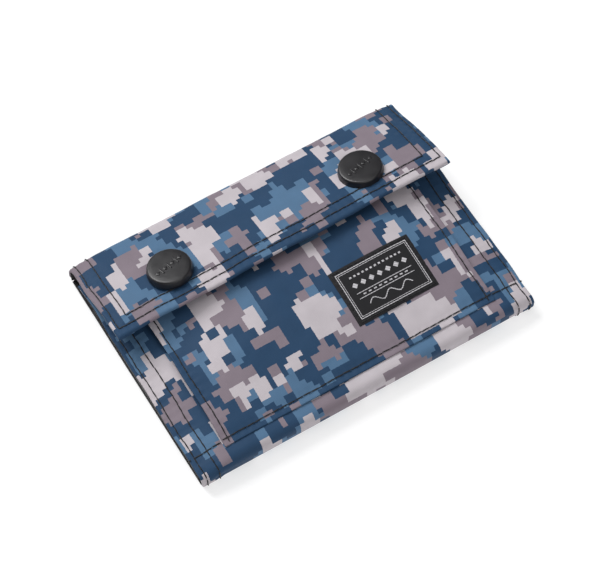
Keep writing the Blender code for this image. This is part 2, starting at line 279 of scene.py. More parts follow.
@dataclass(frozen=True)
class BlockCamouflage:
    """Nylon with a printed block camouflage in four colours."""

    block: float = 1.7 * MM
    wander: float = 0.16 * MM
    ground: Tint = colour(40, 67, 96)
    patches: tuple[Patches, ...] = (
        Patches(colour(80, 111, 141), 0.435, (6.5, 9.5), (11.0, 3.0), 0.10, 0.010),
        Patches(colour(128, 117, 126), 0.425, (7.0, 8.0), (47.0, 29.0), 0.10, 0.022),
        Patches(colour(187, 180, 185), 0.405, (6.5, 10.0), (83.0, 71.0), 0.10, 0.006),
        Patches(colour(40, 67, 96), 0.0, (6.0, 6.0), (23.0, 57.0), 0.0, 0.016),
    )
    weave: WovenFinish = WovenFinish()

    def mask(self, shader: Shader, blocks: Socket, patch: Patches) -> Socket:
        """Return 1 on the blocks that a patch's colour covers.

        Args:
            shader: the material that the nodes are added to.
            blocks: the cloth's place in blocks.
            patch: the colour to place.

        Returns:
            The mask's socket.
        """
        shift = (*patch.shift, 0.0)
        fine = shader.vector("FLOOR", shader.vector("ADD", blocks, shift))
        halved = shader.vector("SCALE", shader.vector("ADD", blocks, shift), 0.5)
        pairs = shader.vector("FLOOR", halved)
        speck = shader.add("TexWhiteNoise", {"Vector": pairs}, noise_dimensions="2D")
        lone = shader.sum("GREATER_THAN", speck.outputs[0], 1.0 - patch.squares)
        if not patch.cover:
            return lone
        stretch = (1.0 / patch.size[0], 1.0 / patch.size[1], 1.0)
        fine_share, pair_share = 0.62, 0.76
        middle = shader.vector("ADD", shader.vector("SCALE", fine, fine_share),
                               shader.vector("SCALE", pairs, pair_share))
        spread = shader.vector("MULTIPLY", middle, stretch)
        broad = shader.add("TexNoise", {"Vector": spread, "Scale": 1.0, "Detail": 1.2,
                                        "Roughness": 0.5}, noise_dimensions="2D")
        stray = shader.ramp(speck.outputs[0], gain=patch.ragged, base=-patch.ragged / 2)
        value = shader.sum("ADD", broad.outputs[0], stray)
        return shader.sum("MAXIMUM", lone, shader.sum("GREATER_THAN", value, 1.0 - patch.cover))

    def print_tint(self, shader: Shader) -> object:
        """Return the printed colour, with edges that wander a little.

        Args:
            shader: the material that the nodes are added to.

        Returns:
            The colour's socket.
        """
        drift = shader.add("TexNoise", {"Vector": shader.map(), "Scale": 1500.0, "Detail": 1.0})
        centred = shader.vector("SUBTRACT", drift.outputs["Color"], (0.5, 0.5, 0.5))
        placed = shader.vector("ADD", shader.map(), shader.vector("SCALE", centred, 2.0 * self.wander))
        blocks = shader.vector("SCALE", placed, 1.0 / self.block)
        tint: object = self.ground
        for patch in self.patches:
            tint = shader.blend(self.mask(shader, blocks, patch), tint, patch.tint)
        return tint

    def build(self) -> bpy.types.Material:
        """Make the material.

        Returns:
            The material.
        """
        shader = Shader("camo_nylon_print")
        tint = self.print_tint(shader)
        threads = self.weave.threads(shader)
        cloud = shader.cloud(scale=160.0, detail=4.0)
        cloud_tone = shader.ramp(cloud, gain=0.22, base=0.86)
        # shade: a random soft cloud tone times painted shade between the weave's threads, multiplied
        # into the print
        shade = shader.sum("MULTIPLY", cloud_tone, shader.ramp(threads, gain=0.14, base=0.90))
        dark = shader.add("Mix", data_type="RGBA", blend_type="MULTIPLY")
        grey = shader.add("CombineColor", {0: shade, 1: shade, 2: shade})
        shader.feed(dark.inputs[0], 1.0)
        shader.feed(dark.inputs[6], tint)
        shader.feed(dark.inputs[7], grey.outputs[0])
        rough = shader.ramp(cloud, gain=0.16, base=0.46)
        shader.set(Base_Color=dark.outputs[2], Roughness=rough, Sheen_Weight=0.02,
                   Sheen_Roughness=0.5, Specular_IOR_Level=0.12)
        shader.bump(threads, self.weave.depth, 0.55)
        return shader.material


@dataclass(frozen=True)
class DarkCloth:
    """Plain woven cloth in one colour, for linings and the label, with a painted highlight on its
    thread crests.
    """

    name: str
    tint: Tint
    # light: the painted highlight colour on the thread crests
    light: Tint
    roughness: float = 0.66
    weave: WovenFinish = WovenFinish(0.5 * MM, 0.05 * MM)

    def build(self) -> bpy.types.Material:
        """Make the material.

        Returns:
            The material.
        """
        shader = Shader(self.name)
        threads = self.weave.threads(shader)
        cloud = shader.cloud(scale=220.0, detail=3.0)
        # Painted highlight on the thread crests and painted shade between them, varied by a soft random
        # cloud.
        share = shader.sum("MULTIPLY", threads, shader.ramp(cloud, gain=0.7, base=0.2))
        tint = shader.blend(share, self.tint, self.light)
        rough = shader.ramp(cloud, gain=0.18, base=self.roughness - 0.09)
        shader.set(Base_Color=tint, Roughness=rough, Sheen_Weight=0.15, Sheen_Roughness=0.45,
                   Specular_IOR_Level=0.35)
        shader.bump(threads, self.weave.depth, 0.6)
        return shader.material


@dataclass(frozen=True)
class Thread:
    """Twisted sewing thread or label yarn."""

    name: str
    tint: Tint
    roughness: float
    twist: float = 0.35 * MM

    def build(self) -> bpy.types.Material:
        """Make the material.

        Returns:
            The material.
        """
        shader = Shader(self.name)
        wave = shader.add("TexWave", {"Vector": shader.place(), "Scale": 1.0 / self.twist / 6.0,
                                      "Distortion": 1.5}, wave_type="BANDS", bands_direction="DIAGONAL")
        shade = shader.ramp(wave.outputs["Fac"], gain=0.5, base=0.7)
        tint = shader.vector("SCALE", self.tint[:3], shade)
        shader.set(Base_Color=tint, Roughness=self.roughness, Sheen_Weight=0.1, Specular_IOR_Level=0.4)
        shader.bump(wave.outputs["Fac"], 0.06 * MM, 0.7)
        return shader.material


@dataclass(frozen=True)
class MouldedPlastic:
    """Black moulded snap plastic with a fine spark texture and rubbed edges."""

    name: str = "snap_plastic"
    tint: Tint = colour(18, 17, 20)
    rubbed: Tint = colour(31, 30, 34)
    roughness: float = 0.36

    def build(self) -> bpy.types.Material:
        """Make the material.

        Returns:
            The material.
        """
        shader = Shader(self.name)
        grain = shader.cloud(scale=4200.0, detail=3.0)
        smear = shader.cloud(scale=260.0, detail=4.0)
        share = shader.sum("MULTIPLY", smear, 0.6)
        rough = shader.ramp(smear, gain=0.20, base=self.roughness - 0.10)
        shader.set(Base_Color=shader.blend(share, self.tint, self.rubbed), Roughness=rough,
                   Specular_IOR_Level=0.5)
        shader.bump(grain, 0.03 * MM, 0.5)
        return shader.material


@dataclass(frozen=True)
class ClearFilm:
    """Flexible clear film, with faint scratches."""

    def build(self) -> bpy.types.Material:
        """Make the material.

        Returns:
            The material.
        """
        shader = Shader("window_film")
        rub = shader.cloud(scale=90.0, detail=5.0)
        rough = shader.ramp(rub, gain=0.08, base=0.12)
        shader.set(Base_Color=(0.50, 0.52, 0.54, 1.0), Roughness=rough, Alpha=0.14, IOR=1.5)
        shader.bump(rub, 0.05 * MM, 0.2)
        return shader.material


@dataclass(frozen=True)
class PaleFloor:
    """A plain white light table."""

    def build(self) -> bpy.types.Material:
        """Make the material.

        Returns:
            The material.
        """
        shader = Shader("studio_floor")
        cloud = shader.cloud(scale=3.0, detail=2.0)
        tint = shader.blend(cloud, (0.47, 0.47, 0.475, 1.0), (0.49, 0.49, 0.49, 1.0))
        shader.set(Base_Color=tint, Roughness=0.8, Specular_IOR_Level=0.1,
                   Emission_Color=(1.0, 1.0, 1.0, 1.0), Emission_Strength=0.57)
        return shader.material


class Finish(Enum):
    """The finishes of the wallet, by what they are for."""

    NYLON = BlockCamouflage()
    # Each DarkCloth's second colour is the painted highlight on its thread crests.
    LINING = DarkCloth("black_lining_cloth", colour(10, 10, 12), colour(33, 33, 37))
    COATING = DarkCloth("nylon_backing", colour(13, 13, 15), colour(30, 30, 34), 0.50)
    LABEL = DarkCloth("label_cloth", colour(6, 6, 9), colour(22, 21, 27), 0.72,
                      WovenFinish(0.3 * MM, 0.03 * MM))
    INTERLINING = DarkCloth("stiffener", colour(200, 198, 188), colour(222, 220, 212), 0.85)
    SEWING = Thread("black_thread", colour(13, 13, 17), 0.55)
    YARN = Thread("off_white_yarn", colour(184, 182, 186), 0.65, 0.30 * MM)
    SNAP = MouldedPlastic()
    SOCKET = MouldedPlastic("snap_metal_black", colour(30, 30, 31), colour(60, 60, 60), 0.30)
    FILM = ClearFilm()
    FLOOR = PaleFloor()

    def dress(self, piece: Piece) -> None:
        """Give a piece this finish, making its material the first time.

        Args:
            piece: the piece to dress.
        """
        name = "finish_" + self.name.lower()
        material = bpy.data.materials.get(name)
        if material is None:
            material = self.value.build()
            material.name = name
        piece.data.materials.append(material)


# ---------------------------------------------------------------------------------- paths


class Path(Protocol):
    """A line in the YZ plane that a sheet of cloth is laid along."""

    def at(self, s: Array) -> tuple[Array, Array]:
        """Return the points (y, z) and the outward normals at distances along the path."""


@dataclass(frozen=True)
class Span:
    """One straight or curved stretch of a path."""

    first: float
    origin: tuple[float, float]
    heading: float
    bend: float


class StripPath:
    """A path of straight runs and left-hand arcs, measured along its length."""

    def __init__(self, origin: tuple[float, float], heading: float) -> None:
        """Start a path.

        Args:
            origin: the first point, as (y, z).
            heading: the first direction, as an angle from +Y.
        """
        self.spans: list[Span] = []
        self.origin = origin
        self.heading = heading
        self.length = 0.0

    def run(self, length: float, turn: float = 0.0) -> float:
        """Add a stretch, and return the distance at which it ends.

        Args:
            length: the stretch's length.
            turn: how far it turns to the left, in radians.

        Returns:
            The path's length so far.
        """
        span = Span(self.length, self.origin, self.heading, turn / length)
        self.spans.append(span)
        self.length += length
        point, _ = self.at(np.array([self.length]))
        self.origin = (float(point[0, 0]), float(point[0, 1]))
        self.heading += turn
        return self.length

    def at(self, s: Array) -> tuple[Array, Array]:
        """Return the points and normals at distances along the path.

        Args:
            s: distances from the path's start.

        Returns:
            Points (y, z), and the normals to the right of the path.
        """
        firsts = np.array([span.first for span in self.spans])
        index = np.clip(np.searchsorted(firsts, s, side="right") - 1, 0, len(firsts) - 1)
        along = s - firsts[index]
        start = np.array([span.origin for span in self.spans])[index]
        angle = np.array([span.heading for span in self.spans])[index]
        bend = np.array([span.bend for span in self.spans])[index]
        turned = angle + bend * along
        flat = np.abs(bend) < STRAIGHT
        safe = np.where(flat, 1.0, bend)
        curved_y = (np.sin(turned) - np.sin(angle)) / safe
        curved_z = (np.cos(angle) - np.cos(turned)) / safe
        step = np.stack([np.where(flat, along * np.cos(angle), curved_y),
                         np.where(flat, along * np.sin(angle), curved_z)], axis=1)
        return start + step, np.stack([np.sin(turned), -np.cos(turned)], axis=1)


class HeightPath:
    """A path that follows a height above the table, from low Y to high Y."""

    def __init__(self, height: Callable[[Array], Array], first: float, last: float) -> None:
        """Measure the path.

        Args:
            height: the height at each y.
            first: the y at which the path starts.
            last: the y at which it ends.
        """
        self.y = np.linspace(first, last, 600)
        self.z = height(self.y)
        steps = np.hypot(np.diff(self.y), np.diff(self.z))
        self.s = np.concatenate([[0.0], np.cumsum(steps)])
        self.length = float(self.s[-1])
        slope = np.gradient(self.z, self.y)
        reach = np.hypot(1.0, slope)
        self.normal = np.stack([-slope / reach, 1.0 / reach], axis=1)

    def at(self, s: Array) -> tuple[Array, Array]:
        """Return the points and upward normals at distances along the path.

        Args:
            s: distances from the path's start.

        Returns:
            Points (y, z), and the normals.
        """
        inside = np.clip(s, 0.0, self.length)
        y = np.interp(inside, self.s, self.y) + (s - inside)
        z = np.interp(inside, self.s, self.z)
        across = np.interp(inside, self.s, self.normal[:, 0])
        up = np.interp(inside, self.s, self.normal[:, 1])
        return np.stack([y, z], axis=1), np.stack([across, up], axis=1)

    def distance(self, y: float) -> float:
        """Return how far along the path a y lies."""
        return float(np.interp(y, self.y, self.s))


# --------------------------------------------------------------------------------- sheets


@dataclass(frozen=True)
class Row:
    """A row of stitches along straight runs on the flat cloth, as (across, along) points."""

    points: tuple[tuple[float, float], ...]
    pitch: float = STITCH_PITCH
    depth: float = 0.26 * MM
    reach: float = 1.2 * MM
    thread: float = 0.23 * MM
    near_pull: tuple[float, float] = (0.66, 0.34)
    wide_pull: tuple[float, float] = (0.16, 0.16)
    wide_reach: float = 2.6

    def runs(self) -> list[tuple[Array, Array]]:
        """Return the ends of each straight run."""
        corners = [np.array(point) for point in self.points]
        return list(zip(corners, corners[1:]))


def stations(ends: tuple[float, float], span: tuple[float, float], turned: tuple[bool, bool],
             hem: float, step: float) -> Array:
    """Space the lines of a grid, with extra ones round each turned edge.

    Args:
        ends: the flat cloth's first and last coordinates.
        span: where its face starts and ends.
        turned: whether each end is turned under.
        hem: the radius of a turned edge.
        step: the usual space between lines.

    Returns:
        The lines' coordinates, in order.
    """
    inner = [span[0] + hem if turned[0] else ends[0], span[1] - hem if turned[1] else ends[1]]
    parts = [np.linspace(inner[0], inner[1], max(2, round((inner[1] - inner[0]) / step)) + 1)]
    for side, sign in ((0, -1.0), (1, 1.0)):
        if turned[side]:
            curl = inner[side] + sign * math.pi * hem * np.arange(1, HEM_STEPS + 1) / HEM_STEPS
            count = max(1, round(abs(ends[side] - curl[-1]) / step))
            parts += [curl, np.linspace(curl[-1], ends[side], count + 1)[1:]]
    return np.unique(np.concatenate(parts))


def turn_under(distance: Array, limit: float | Array, radius: float | Array) -> tuple[Array, Array]:
    """Fold cloth under at an edge.

    Args:
        distance: how far out each point lies on the flat cloth.
        limit: where the fold starts.
        radius: the fold's radius.

    Returns:
        Where each point lies, and how deep it is under the face.
    """
    over = np.clip(distance - limit, 0.0, None)
    angle = np.clip(over / radius, 0.0, math.pi)
    place = np.where(over <= 0.0, distance,
                     limit + radius * np.sin(angle) - np.clip(over - math.pi * radius, 0.0, None))
    return place, radius * (1.0 - np.cos(angle))


def smooth_step(value: Array) -> Array:
    """Ease from 0 to 1 as the value goes from 0 to 1."""
    share = np.clip(value, 0.0, 1.0)
    return share * share * (3.0 - 2.0 * share)


def ripple(x: Array, s: Array, size: float, seed: float) -> Array:
    """Return smooth crossing waves, from about -1 to 1, over the cloth.

    Args:
        x: the points across the cloth.
        s: the points along it.
        size: the usual length of a wave.
        seed: chooses the waves' directions.

    Returns:
        The waves' height at each point.
    """
    draw = random.Random(seed)
    total = np.zeros_like(x)
    for _ in range(RIPPLE_WAVES):
        angle = draw.uniform(0.0, math.pi)
        turns = 2 * math.pi / (size * draw.uniform(*RIPPLE_SPREAD))
        phase = draw.uniform(0.0, RIPPLE_PHASE)
        total += np.sin((x * math.cos(angle) + s * math.sin(angle)) * turns + phase)
    return total / (RIPPLE_WAVES / 2)


def no_relief(x: Array, s: Array) -> Array:
    """Return no relief at all."""
    return np.zeros_like(x)


def pressed_sides(x: Array, s: Array) -> Array:
    """Return the share by which the wallet's sides are pressed flatter than its middle."""
    return PRESSED_SHARE * smooth_step((np.abs(x) - PRESSED_FROM) / PRESSED_REACH)


@dataclass
class Sheet:
    """A sheet of cloth on a path, with turned hems and puckered seams.

    Attributes:
        name: the piece's name.
        path: the line that the sheet's face follows.
        span: where it starts and ends along the path.
        half_width: from its middle to each side.
        centre_x: where its middle lies.
        cloth: the cloth's thickness.
        hem: the radius of its turned edges.
        hem_first: that radius at its start, if it differs there.
        allowance: how much cloth is turned under.
        turn_sides: whether its sides are turned under.
        turn_first: whether its start is turned under.
        turn_last: whether its end is turned under.
        rows: its rows of stitches.
        relief: extra height over the face.
        wave: the height of its soft waves.
        pinch: how far its height shrinks at the wallet's sides, as a share.
        draw_in: how far its sides are drawn in, along its length.
        seed: chooses the shape of its waves.
        grid: the size of its faces.
        coated: whether its inner side has a finish of its own.
        wander: how far its turned edges stray from straight.
    """

    name: str
    path: Path
    span: tuple[float, float]
    half_width: float
    centre_x: float = 0.0
    cloth: float = 0.45 * MM
    hem: float = 0.45 * MM
    hem_first: float = 0.0
    allowance: float = 4.0 * MM
    turn_sides: bool = True
    turn_first: bool = False
    turn_last: bool = False
    rows: Sequence[Row] = ()
    relief: Relief = no_relief
    wave: float = 0.12 * MM
    pinch: Relief = no_relief
    draw_in: Relief = no_relief
    seed: float = 1.0
    grid: float = GRID
    coated: bool = False
    wander: float = 0.0

    def strayed(self, x: Array, t: Array) -> tuple[Array, Array]:
        """Let the turned edges stray a little from straight.

        Args:
            x: the points across the sheet.
            t: the points along it.

        Returns:
            The points moved across and along.
        """
        side_wave, end_wave, end_reach, level, far_apart = 19 * MM, 21 * MM, 16 * MM, 0.6, 9.0
        sideways = ripple(np.sign(x) * far_apart, t, side_wave, self.seed + 3) - level
        lengthways = ripple(x, 0.0 * x, end_wave, self.seed + 5) - level
        nearer = smooth_step((t - self.span[1] + end_reach) / end_reach) if self.turn_last else 0.0 * t
        strayed_x = x * (1.0 + self.wander * self.fade(t) * sideways / self.half_width)
        return strayed_x, t + self.wander * nearer * lengthways

    def hem_at(self, s: Array) -> Array:
        """Return the radius of the turned sides along the sheet."""
        first = (self.hem_first or self.hem) - self.hem
        return self.hem + first * (1.0 - smooth_step((s - self.span[0]) / HEM_EASE))

    def fade(self, s: Array) -> Array:
        """Return 1 on the sheet's face, and 0 at the cut ends of its span."""
        return smooth_step((s - self.span[0]) / HEM_EASE) * smooth_step((self.span[1] - s) / HEM_EASE)

    def soft_waves(self, x: Array, s: Array) -> Array:
        """Return the sheet's soft waves, which die out at the cut ends of its span."""
        short = SHORT_SHARE * ripple(x, s, SHORT_WAVE, self.seed + 9)
        return self.wave * self.fade(s) * (ripple(x, s, LONG_WAVE, self.seed) + short)

    def pucker(self, u: Array, s: Array) -> Array:
        """Return how far the seams draw the cloth down.

        Args:
            u: the points across the flat cloth.
            s: the points along it.

        Returns:
            The depth at each point, as a negative height.
        """
        total = np.zeros_like(u)
        for row in self.rows:
            for first, last in row.runs():
                line = last - first
                length = float(np.hypot(*line))
                along = ((u - first[0]) * line[0] + (s - first[1]) * line[1]) / length
                nearest = np.clip(along, 0.0, length)
                gap = np.hypot(u - first[0] - nearest * line[0] / length,
                               s - first[1] - nearest * line[1] / length)
                count = max(1, round(length / row.pitch))
                beat = np.cos(2 * math.pi * nearest * count / length)
                pull = np.zeros_like(u)
                for (steady, beating), reach in ((row.near_pull, row.reach),
                                                 (row.wide_pull, row.wide_reach * row.reach)):
                    pull += (steady + beating * beat) * np.exp(-(gap / reach) ** 2)
                total = np.minimum(total, -row.depth * pull)
        return total

    def place(self, u: Array, s: Array) -> tuple[Array, Array]:
        """Lay points of the flat cloth on the wallet.

        Args:
            u: the points across the flat cloth, from its middle.
            s: the points along it.

        Returns:
            The points in space, and the face's normals.
        """
        x, depth_x, t, depth_t = u, np.zeros_like(u), s, np.zeros_like(s)
        side_hem = self.hem_at(s)
        if self.turn_sides:
            place, depth_x = turn_under(np.abs(u), self.half_width - side_hem, side_hem)
            x = np.sign(u) * place
        if self.turn_last:
            t, depth_t = turn_under(t, self.span[1] - self.hem, self.hem)
        if self.turn_first:
            back, more = turn_under(-t, -(self.span[0] + self.hem), self.hem)
            t, depth_t = -back, np.maximum(depth_t, more)
        if self.wander:
            x, t = self.strayed(x, t)
        full = np.maximum(2.0 * side_hem, 2.0 * self.hem)
        side, end = depth_x / full, depth_t / full
        over_side = smooth_step((np.abs(x) - self.half_width + self.allowance + MM) / MM)
        pressed, tucked = 0.5, 0.6
        depth = full * (1.0 - (1.0 - side) * (1.0 - end)) - pressed * full * side * end
        depth += tucked * self.cloth * end * (1.0 - side) * over_side
        base, normal = self.path.at(t)
        height = self.pucker(u, s) + self.relief(x, t) + self.soft_waves(x, t) - depth
        level = base[:, 1] + normal[:, 1] * height
        narrowed = x * (1.0 - self.draw_in(x, t) / self.half_width)
        points = np.stack([self.centre_x + narrowed, base[:, 0] + normal[:, 0] * height,
                           level * (1.0 - self.pinch(x, t))], axis=1)
        normals = np.stack([np.zeros_like(x), normal[:, 0], normal[:, 1]], axis=1)
        return points, normals

    def limits(self) -> tuple[float, float, float]:
        """Measure the flat cloth, hems included.

        Returns:
            Its half width, its start and its end.
        """
        extra = math.pi * self.hem + self.allowance - self.hem
        half = self.half_width + (extra if self.turn_sides else 0.0)
        first = self.span[0] - (extra if self.turn_first else 0.0)
        last = self.span[1] + (extra if self.turn_last else 0.0)
        return half, first, last

    def flat_size(self) -> tuple[float, float]:
        """Return the width and length that the sheet is cut to."""
        half, first, last = self.limits()
        return 2.0 * half, last - first

    def build(self) -> Piece:
        """Build the sheet.

        Returns:
            The piece, with its cloth map and its thickness as a modifier.
        """
        half, first, last = self.limits()
        turned = (self.turn_sides, self.turn_sides)
        sides = (-self.half_width, self.half_width)
        columns = stations((-half, half), sides, turned, self.hem, self.grid)
        turned = (self.turn_first, self.turn_last)
        lines = stations((first, last), self.span, turned, self.hem, self.grid)
        working = bmesh.new()
        parts = (len(columns) - 1, len(lines) - 1)
        bmesh.ops.create_grid(working, x_segments=parts[0], y_segments=parts[1], size=1.0)
        corners = np.array([vertex.co[:2] for vertex in working.verts])
        index = np.rint((corners + 1.0) / 2.0 * parts).astype(int)
        u, s = columns[index[:, 0]], lines[index[:, 1]]
        points, normals = self.place(u, s)
        for vertex, point in zip(working.verts, points):
            vertex.co = point
        face_out(working, u, s, normals)
        lay_map(working, u, s)
        for edge in working.edges:
            edge.smooth = not edge.is_boundary
        piece = new_piece(self.name, working)
        add_thickness(piece, self.cloth, self.coated)
        return piece


def face_out(working: BMesh, u: Array, s: Array, normals: Array) -> None:
    """Turn a sheet's faces so that they look along its normals.

    Args:
        working: the sheet.
        u: the points across the flat cloth.
        s: the points along it.
        normals: the normal that each point should have.
    """
    middle = int(np.argmin(np.abs(u) + np.abs(s - s.mean())))
    working.verts.ensure_lookup_table()
    working.normal_update()
    if working.verts[middle].normal.dot(Vector(normals[middle])) < 0:
        bmesh.ops.reverse_faces(working, faces=working.faces)


def lay_map(working: BMesh, u: Array, s: Array) -> None:
    """Give a sheet its cloth map: the flat cloth in metres.

    Args:
        working: the sheet.
        u: the points across the flat cloth.
        s: the points along it.
    """
    layer = working.loops.layers.uv.new(CLOTH_MAP)
    for face in working.faces:
        for loop in face.loops:
            index = loop.vert.index
            loop[layer].uv = (u[index], s[index])


def new_piece(name: str, working: BMesh) -> Piece:
    """Turn a bmesh into a smooth piece of the scene, and free it.

    Args:
        name: the piece's name.
        working: its shape.

    Returns:
        The piece.
    """
    mesh = bpy.data.meshes.new(name)
    working.to_mesh(mesh)
    working.free()
    mesh.shade_smooth()
    piece = bpy.data.objects.new(name, mesh)
    bpy.context.scene.collection.objects.link(piece)
    return piece


def add_thickness(piece: Piece, thickness: float, coated: bool = False) -> None:
    """Give a sheet its thickness, below its face.

    Args:
        piece: the sheet.
        thickness: how thick it is.
        coated: whether its inner side takes the piece's second finish.
    """
    wall = piece.modifiers.new("thickness", "SOLIDIFY")
    wall.material_offset = 1 if coated else 0
    wall.thickness = thickness
    wall.offset = -1.0
    wall.use_rim = True


@dataclass
class Stitching:
    """The sewing thread of one sheet, as short rounded stitches.

    Attributes:
        sheet: the sheet that is sewn.
        seed: chooses the small differences between stitches.
        drift_kept: the share of a knot's drift that the next one keeps.
        drift_step: the most that a knot adds to it, in millimetres.
        length_share: a stitch's half length, as a share of the pitch.
        slant: the most that a stitch is turned on the cloth.
        stand: how far it stands up, as a share of its thickness.
        flatness: its height as a share of its width.
    """

    sheet: Sheet
    seed: int = 3
    drift_kept: float = 0.6
    drift_step: float = 0.08
    length_share: tuple[float, float] = (0.51, 0.57)
    slant: float = 0.07
    stand: tuple[float, float] = (0.15, 0.4)
    flatness: float = 0.9

    def build(self, name: str) -> Piece:
        """Build every stitch of the sheet's rows as one piece.

        Args:
            name: the piece's name.

        Returns:
            The piece.
        """
        draw = random.Random(self.seed)
        working = bmesh.new()
        for row in self.sheet.rows:
            for first, last in row.runs():
                run = bmesh.new()
                self.sew(run, row, first, last, draw)
                mesh = bpy.data.meshes.new("run")
                run.to_mesh(mesh)
                run.free()
                working.from_mesh(mesh)
                bpy.data.meshes.remove(mesh)
        return new_piece(name, working)

    def sew(self, working: BMesh, row: Row, first: Array, last: Array,
            draw: random.Random) -> None:
        """Sew one straight run.

        Args:
            working: the bmesh that the stitches go into.
            row: the row's pitch and thread.
            first: the run's first point on the flat cloth.
            last: the run's last point.
            draw: the source of small differences between stitches.
        """
        line = last - first
        length = float(np.hypot(*line))
        count = max(1, round(length / row.pitch))
        across = np.array([-line[1], line[0]]) / length
        drift = np.zeros(count)
        for number in range(1, count):
            step = draw.uniform(-self.drift_step, self.drift_step) * MM
            drift[number] = self.drift_kept * drift[number - 1] + step
        halves = 2 * count + 1
        knots = first + np.outer(np.linspace(0.0, 1.0, halves), line)
        knots += np.outer(np.interp(np.arange(halves), np.arange(count) * 2 + 1, drift), across)
        points, normals = self.sheet.place(knots[:, 0], knots[:, 1])
        for number in range(count):
            along = Vector(points[2 * number + 2] - points[2 * number])
            reach = along.length * draw.uniform(*self.length_share)
            up = Vector(normals[2 * number + 1])
            side = up.cross(along).normalized()
            along = (along.normalized() + side * draw.uniform(-self.slant, self.slant)).normalized()
            side = up.cross(along).normalized()
            up = along.cross(side)
            centre = Vector(points[2 * number + 1]) + up * (row.thread * draw.uniform(*self.stand))
            axes = (side * row.thread, up * row.thread * self.flatness, along * reach)
            place = Matrix.Translation(centre) @ Matrix(axes).transposed().to_4x4()
            bmesh.ops.create_uvsphere(working, u_segments=7, v_segments=6, radius=1.0, matrix=place)


# ------------------------------------------------------------------------------ the sizes


def corner_low(node: str) -> Vector:
    """Return a frame node's lowest corner."""
    return Vector(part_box(node)[0])


def corner_high(node: str) -> Vector:
    """Return a frame node's highest corner."""
    return Vector(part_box(node)[1])


@dataclass
class WalletSizes:
    """The sizes that every sub-assembly shares, from the frame where it has them."""

    half_width: float = field(default_factory=lambda: corner_high("front_cover").x)
    half_depth: float = field(default_factory=lambda: corner_high("top_fold").y)
    panel_top: float = field(default_factory=lambda: corner_high("front_cover").z)
    front_edge_y: float = field(default_factory=lambda: corner_high("front_cover").y)
    bottom_radius: float = 3.3 * MM
    back_radius: float = 2.6 * MM
    flap_fold_radius: float = 2.2 * MM
    flap_edge: tuple[float, float] = (8.0 * MM, 18.0 * MM)
    flap_fold: tuple[float, float] = (42.2 * MM, 9.0 * MM)
    flap_crown: float = 0.9 * MM
    outer_row: float = 58.7 * MM
    inner_row: float = 54.4 * MM
    bottom_row_y: float = -34.7 * MM
    snap_x: float = 35.0 * MM
    snap_y: float = 21.0 * MM


class OuterPath:
    """The path of the outer cloth, with the distances at which the strip changes."""

    def __init__(self, sizes: WalletSizes) -> None:
        """Lay out the path from the front's top edge to the flap's free edge.

        Args:
            sizes: the shared sizes.
        """
        free_edge, fold = Vector(sizes.flap_edge), Vector(sizes.flap_fold)
        chord = fold - free_edge
        self.flap_radius = (chord.length ** 2 / 4 + sizes.flap_crown ** 2) / (2 * sizes.flap_crown)
        up = Vector((-chord.y, chord.x)).normalized()
        self.flap_centre = (free_edge + fold) / 2 + up * (sizes.flap_crown - self.flap_radius)
        fold_y = sizes.half_depth - sizes.flap_fold_radius
        reach = self.flap_radius - sizes.flap_fold_radius
        across = fold_y - self.flap_centre.x
        fold_z = self.flap_centre.y + math.sqrt(reach ** 2 - across ** 2)
        turn = math.atan2(fold_z - self.flap_centre.y, across)
        edge_angle = math.atan2(free_edge.y - self.flap_centre.y, free_edge.x - self.flap_centre.x)

        bottom, back = sizes.bottom_radius, sizes.back_radius
        quarter = math.pi / 2
        self.path = StripPath((sizes.front_edge_y, sizes.panel_top), math.pi)
        self.bottom_start = self.path.run(sizes.front_edge_y + sizes.half_depth - bottom)
        bottom_wall = self.path.run(quarter * bottom, quarter)
        wall = sizes.panel_top - 2 * bottom
        self.bottom_split = bottom_wall + wall / 2
        self.path.run(wall)
        self.back_start = self.path.run(quarter * bottom, quarter)
        back_length = 2 * sizes.half_depth - bottom - back
        self.back_split = self.back_start + back_length / 2
        self.back_end = self.path.run(back_length)
        top_wall = self.path.run(quarter * back, quarter)
        self.top_split = (top_wall + self.path.run(fold_z - back)) / 2
        self.flap_start = self.path.run(turn * sizes.flap_fold_radius, turn)
        self.flap_end = self.path.run((edge_angle - turn) * self.flap_radius, edge_angle - turn)

    def on_flap(self, y: float) -> float:
        """Find where the flap's face is at y.

        Args:
            y: the place on the wallet.

        Returns:
            The distance along the path.
        """
        angle = math.acos((y - self.flap_centre.x) / self.flap_radius)
        edge, _ = self.path.at(np.array([self.flap_end]))
        edge_angle = math.acos((edge[0, 0] - self.flap_centre.x) / self.flap_radius)
        return self.flap_end - (edge_angle - angle) * self.flap_radius

    def flap_depth(self, depth: float) -> StripPath:
        """Lay out a layer under the flap's face, from its fold to its edge.

        Args:
            depth: how far the layer lies under the face.

        Returns:
            The layer's path.
        """
        point, normal = self.path.at(np.array([self.flap_start]))
        start = point[0] - normal[0] * depth
        heading = math.atan2(normal[0, 0], -normal[0, 1])
        layer = StripPath((float(start[0]), float(start[1])), heading)
        sweep = (self.flap_end - self.flap_start) / self.flap_radius
        layer.run(sweep * (self.flap_radius - depth), sweep)
        return layer


# ------------------------------------------------------------------------ sub-assemblies


def finish_sheet(piece: Piece, finish: Finish, slot: str, nodes: Iterable[str] = ()) -> None:
    """Dress a piece and hide the frame nodes that it stands for.

    Args:
        piece: the piece.
        finish: its finish.
        slot: its material slot, not used.
        nodes: the frame nodes that it stands for.
    """
    finish.dress(piece)
    if nodes:
        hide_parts(*nodes)
    LOG.info("%s: %d faces", piece.name, len(piece.data.polygons))


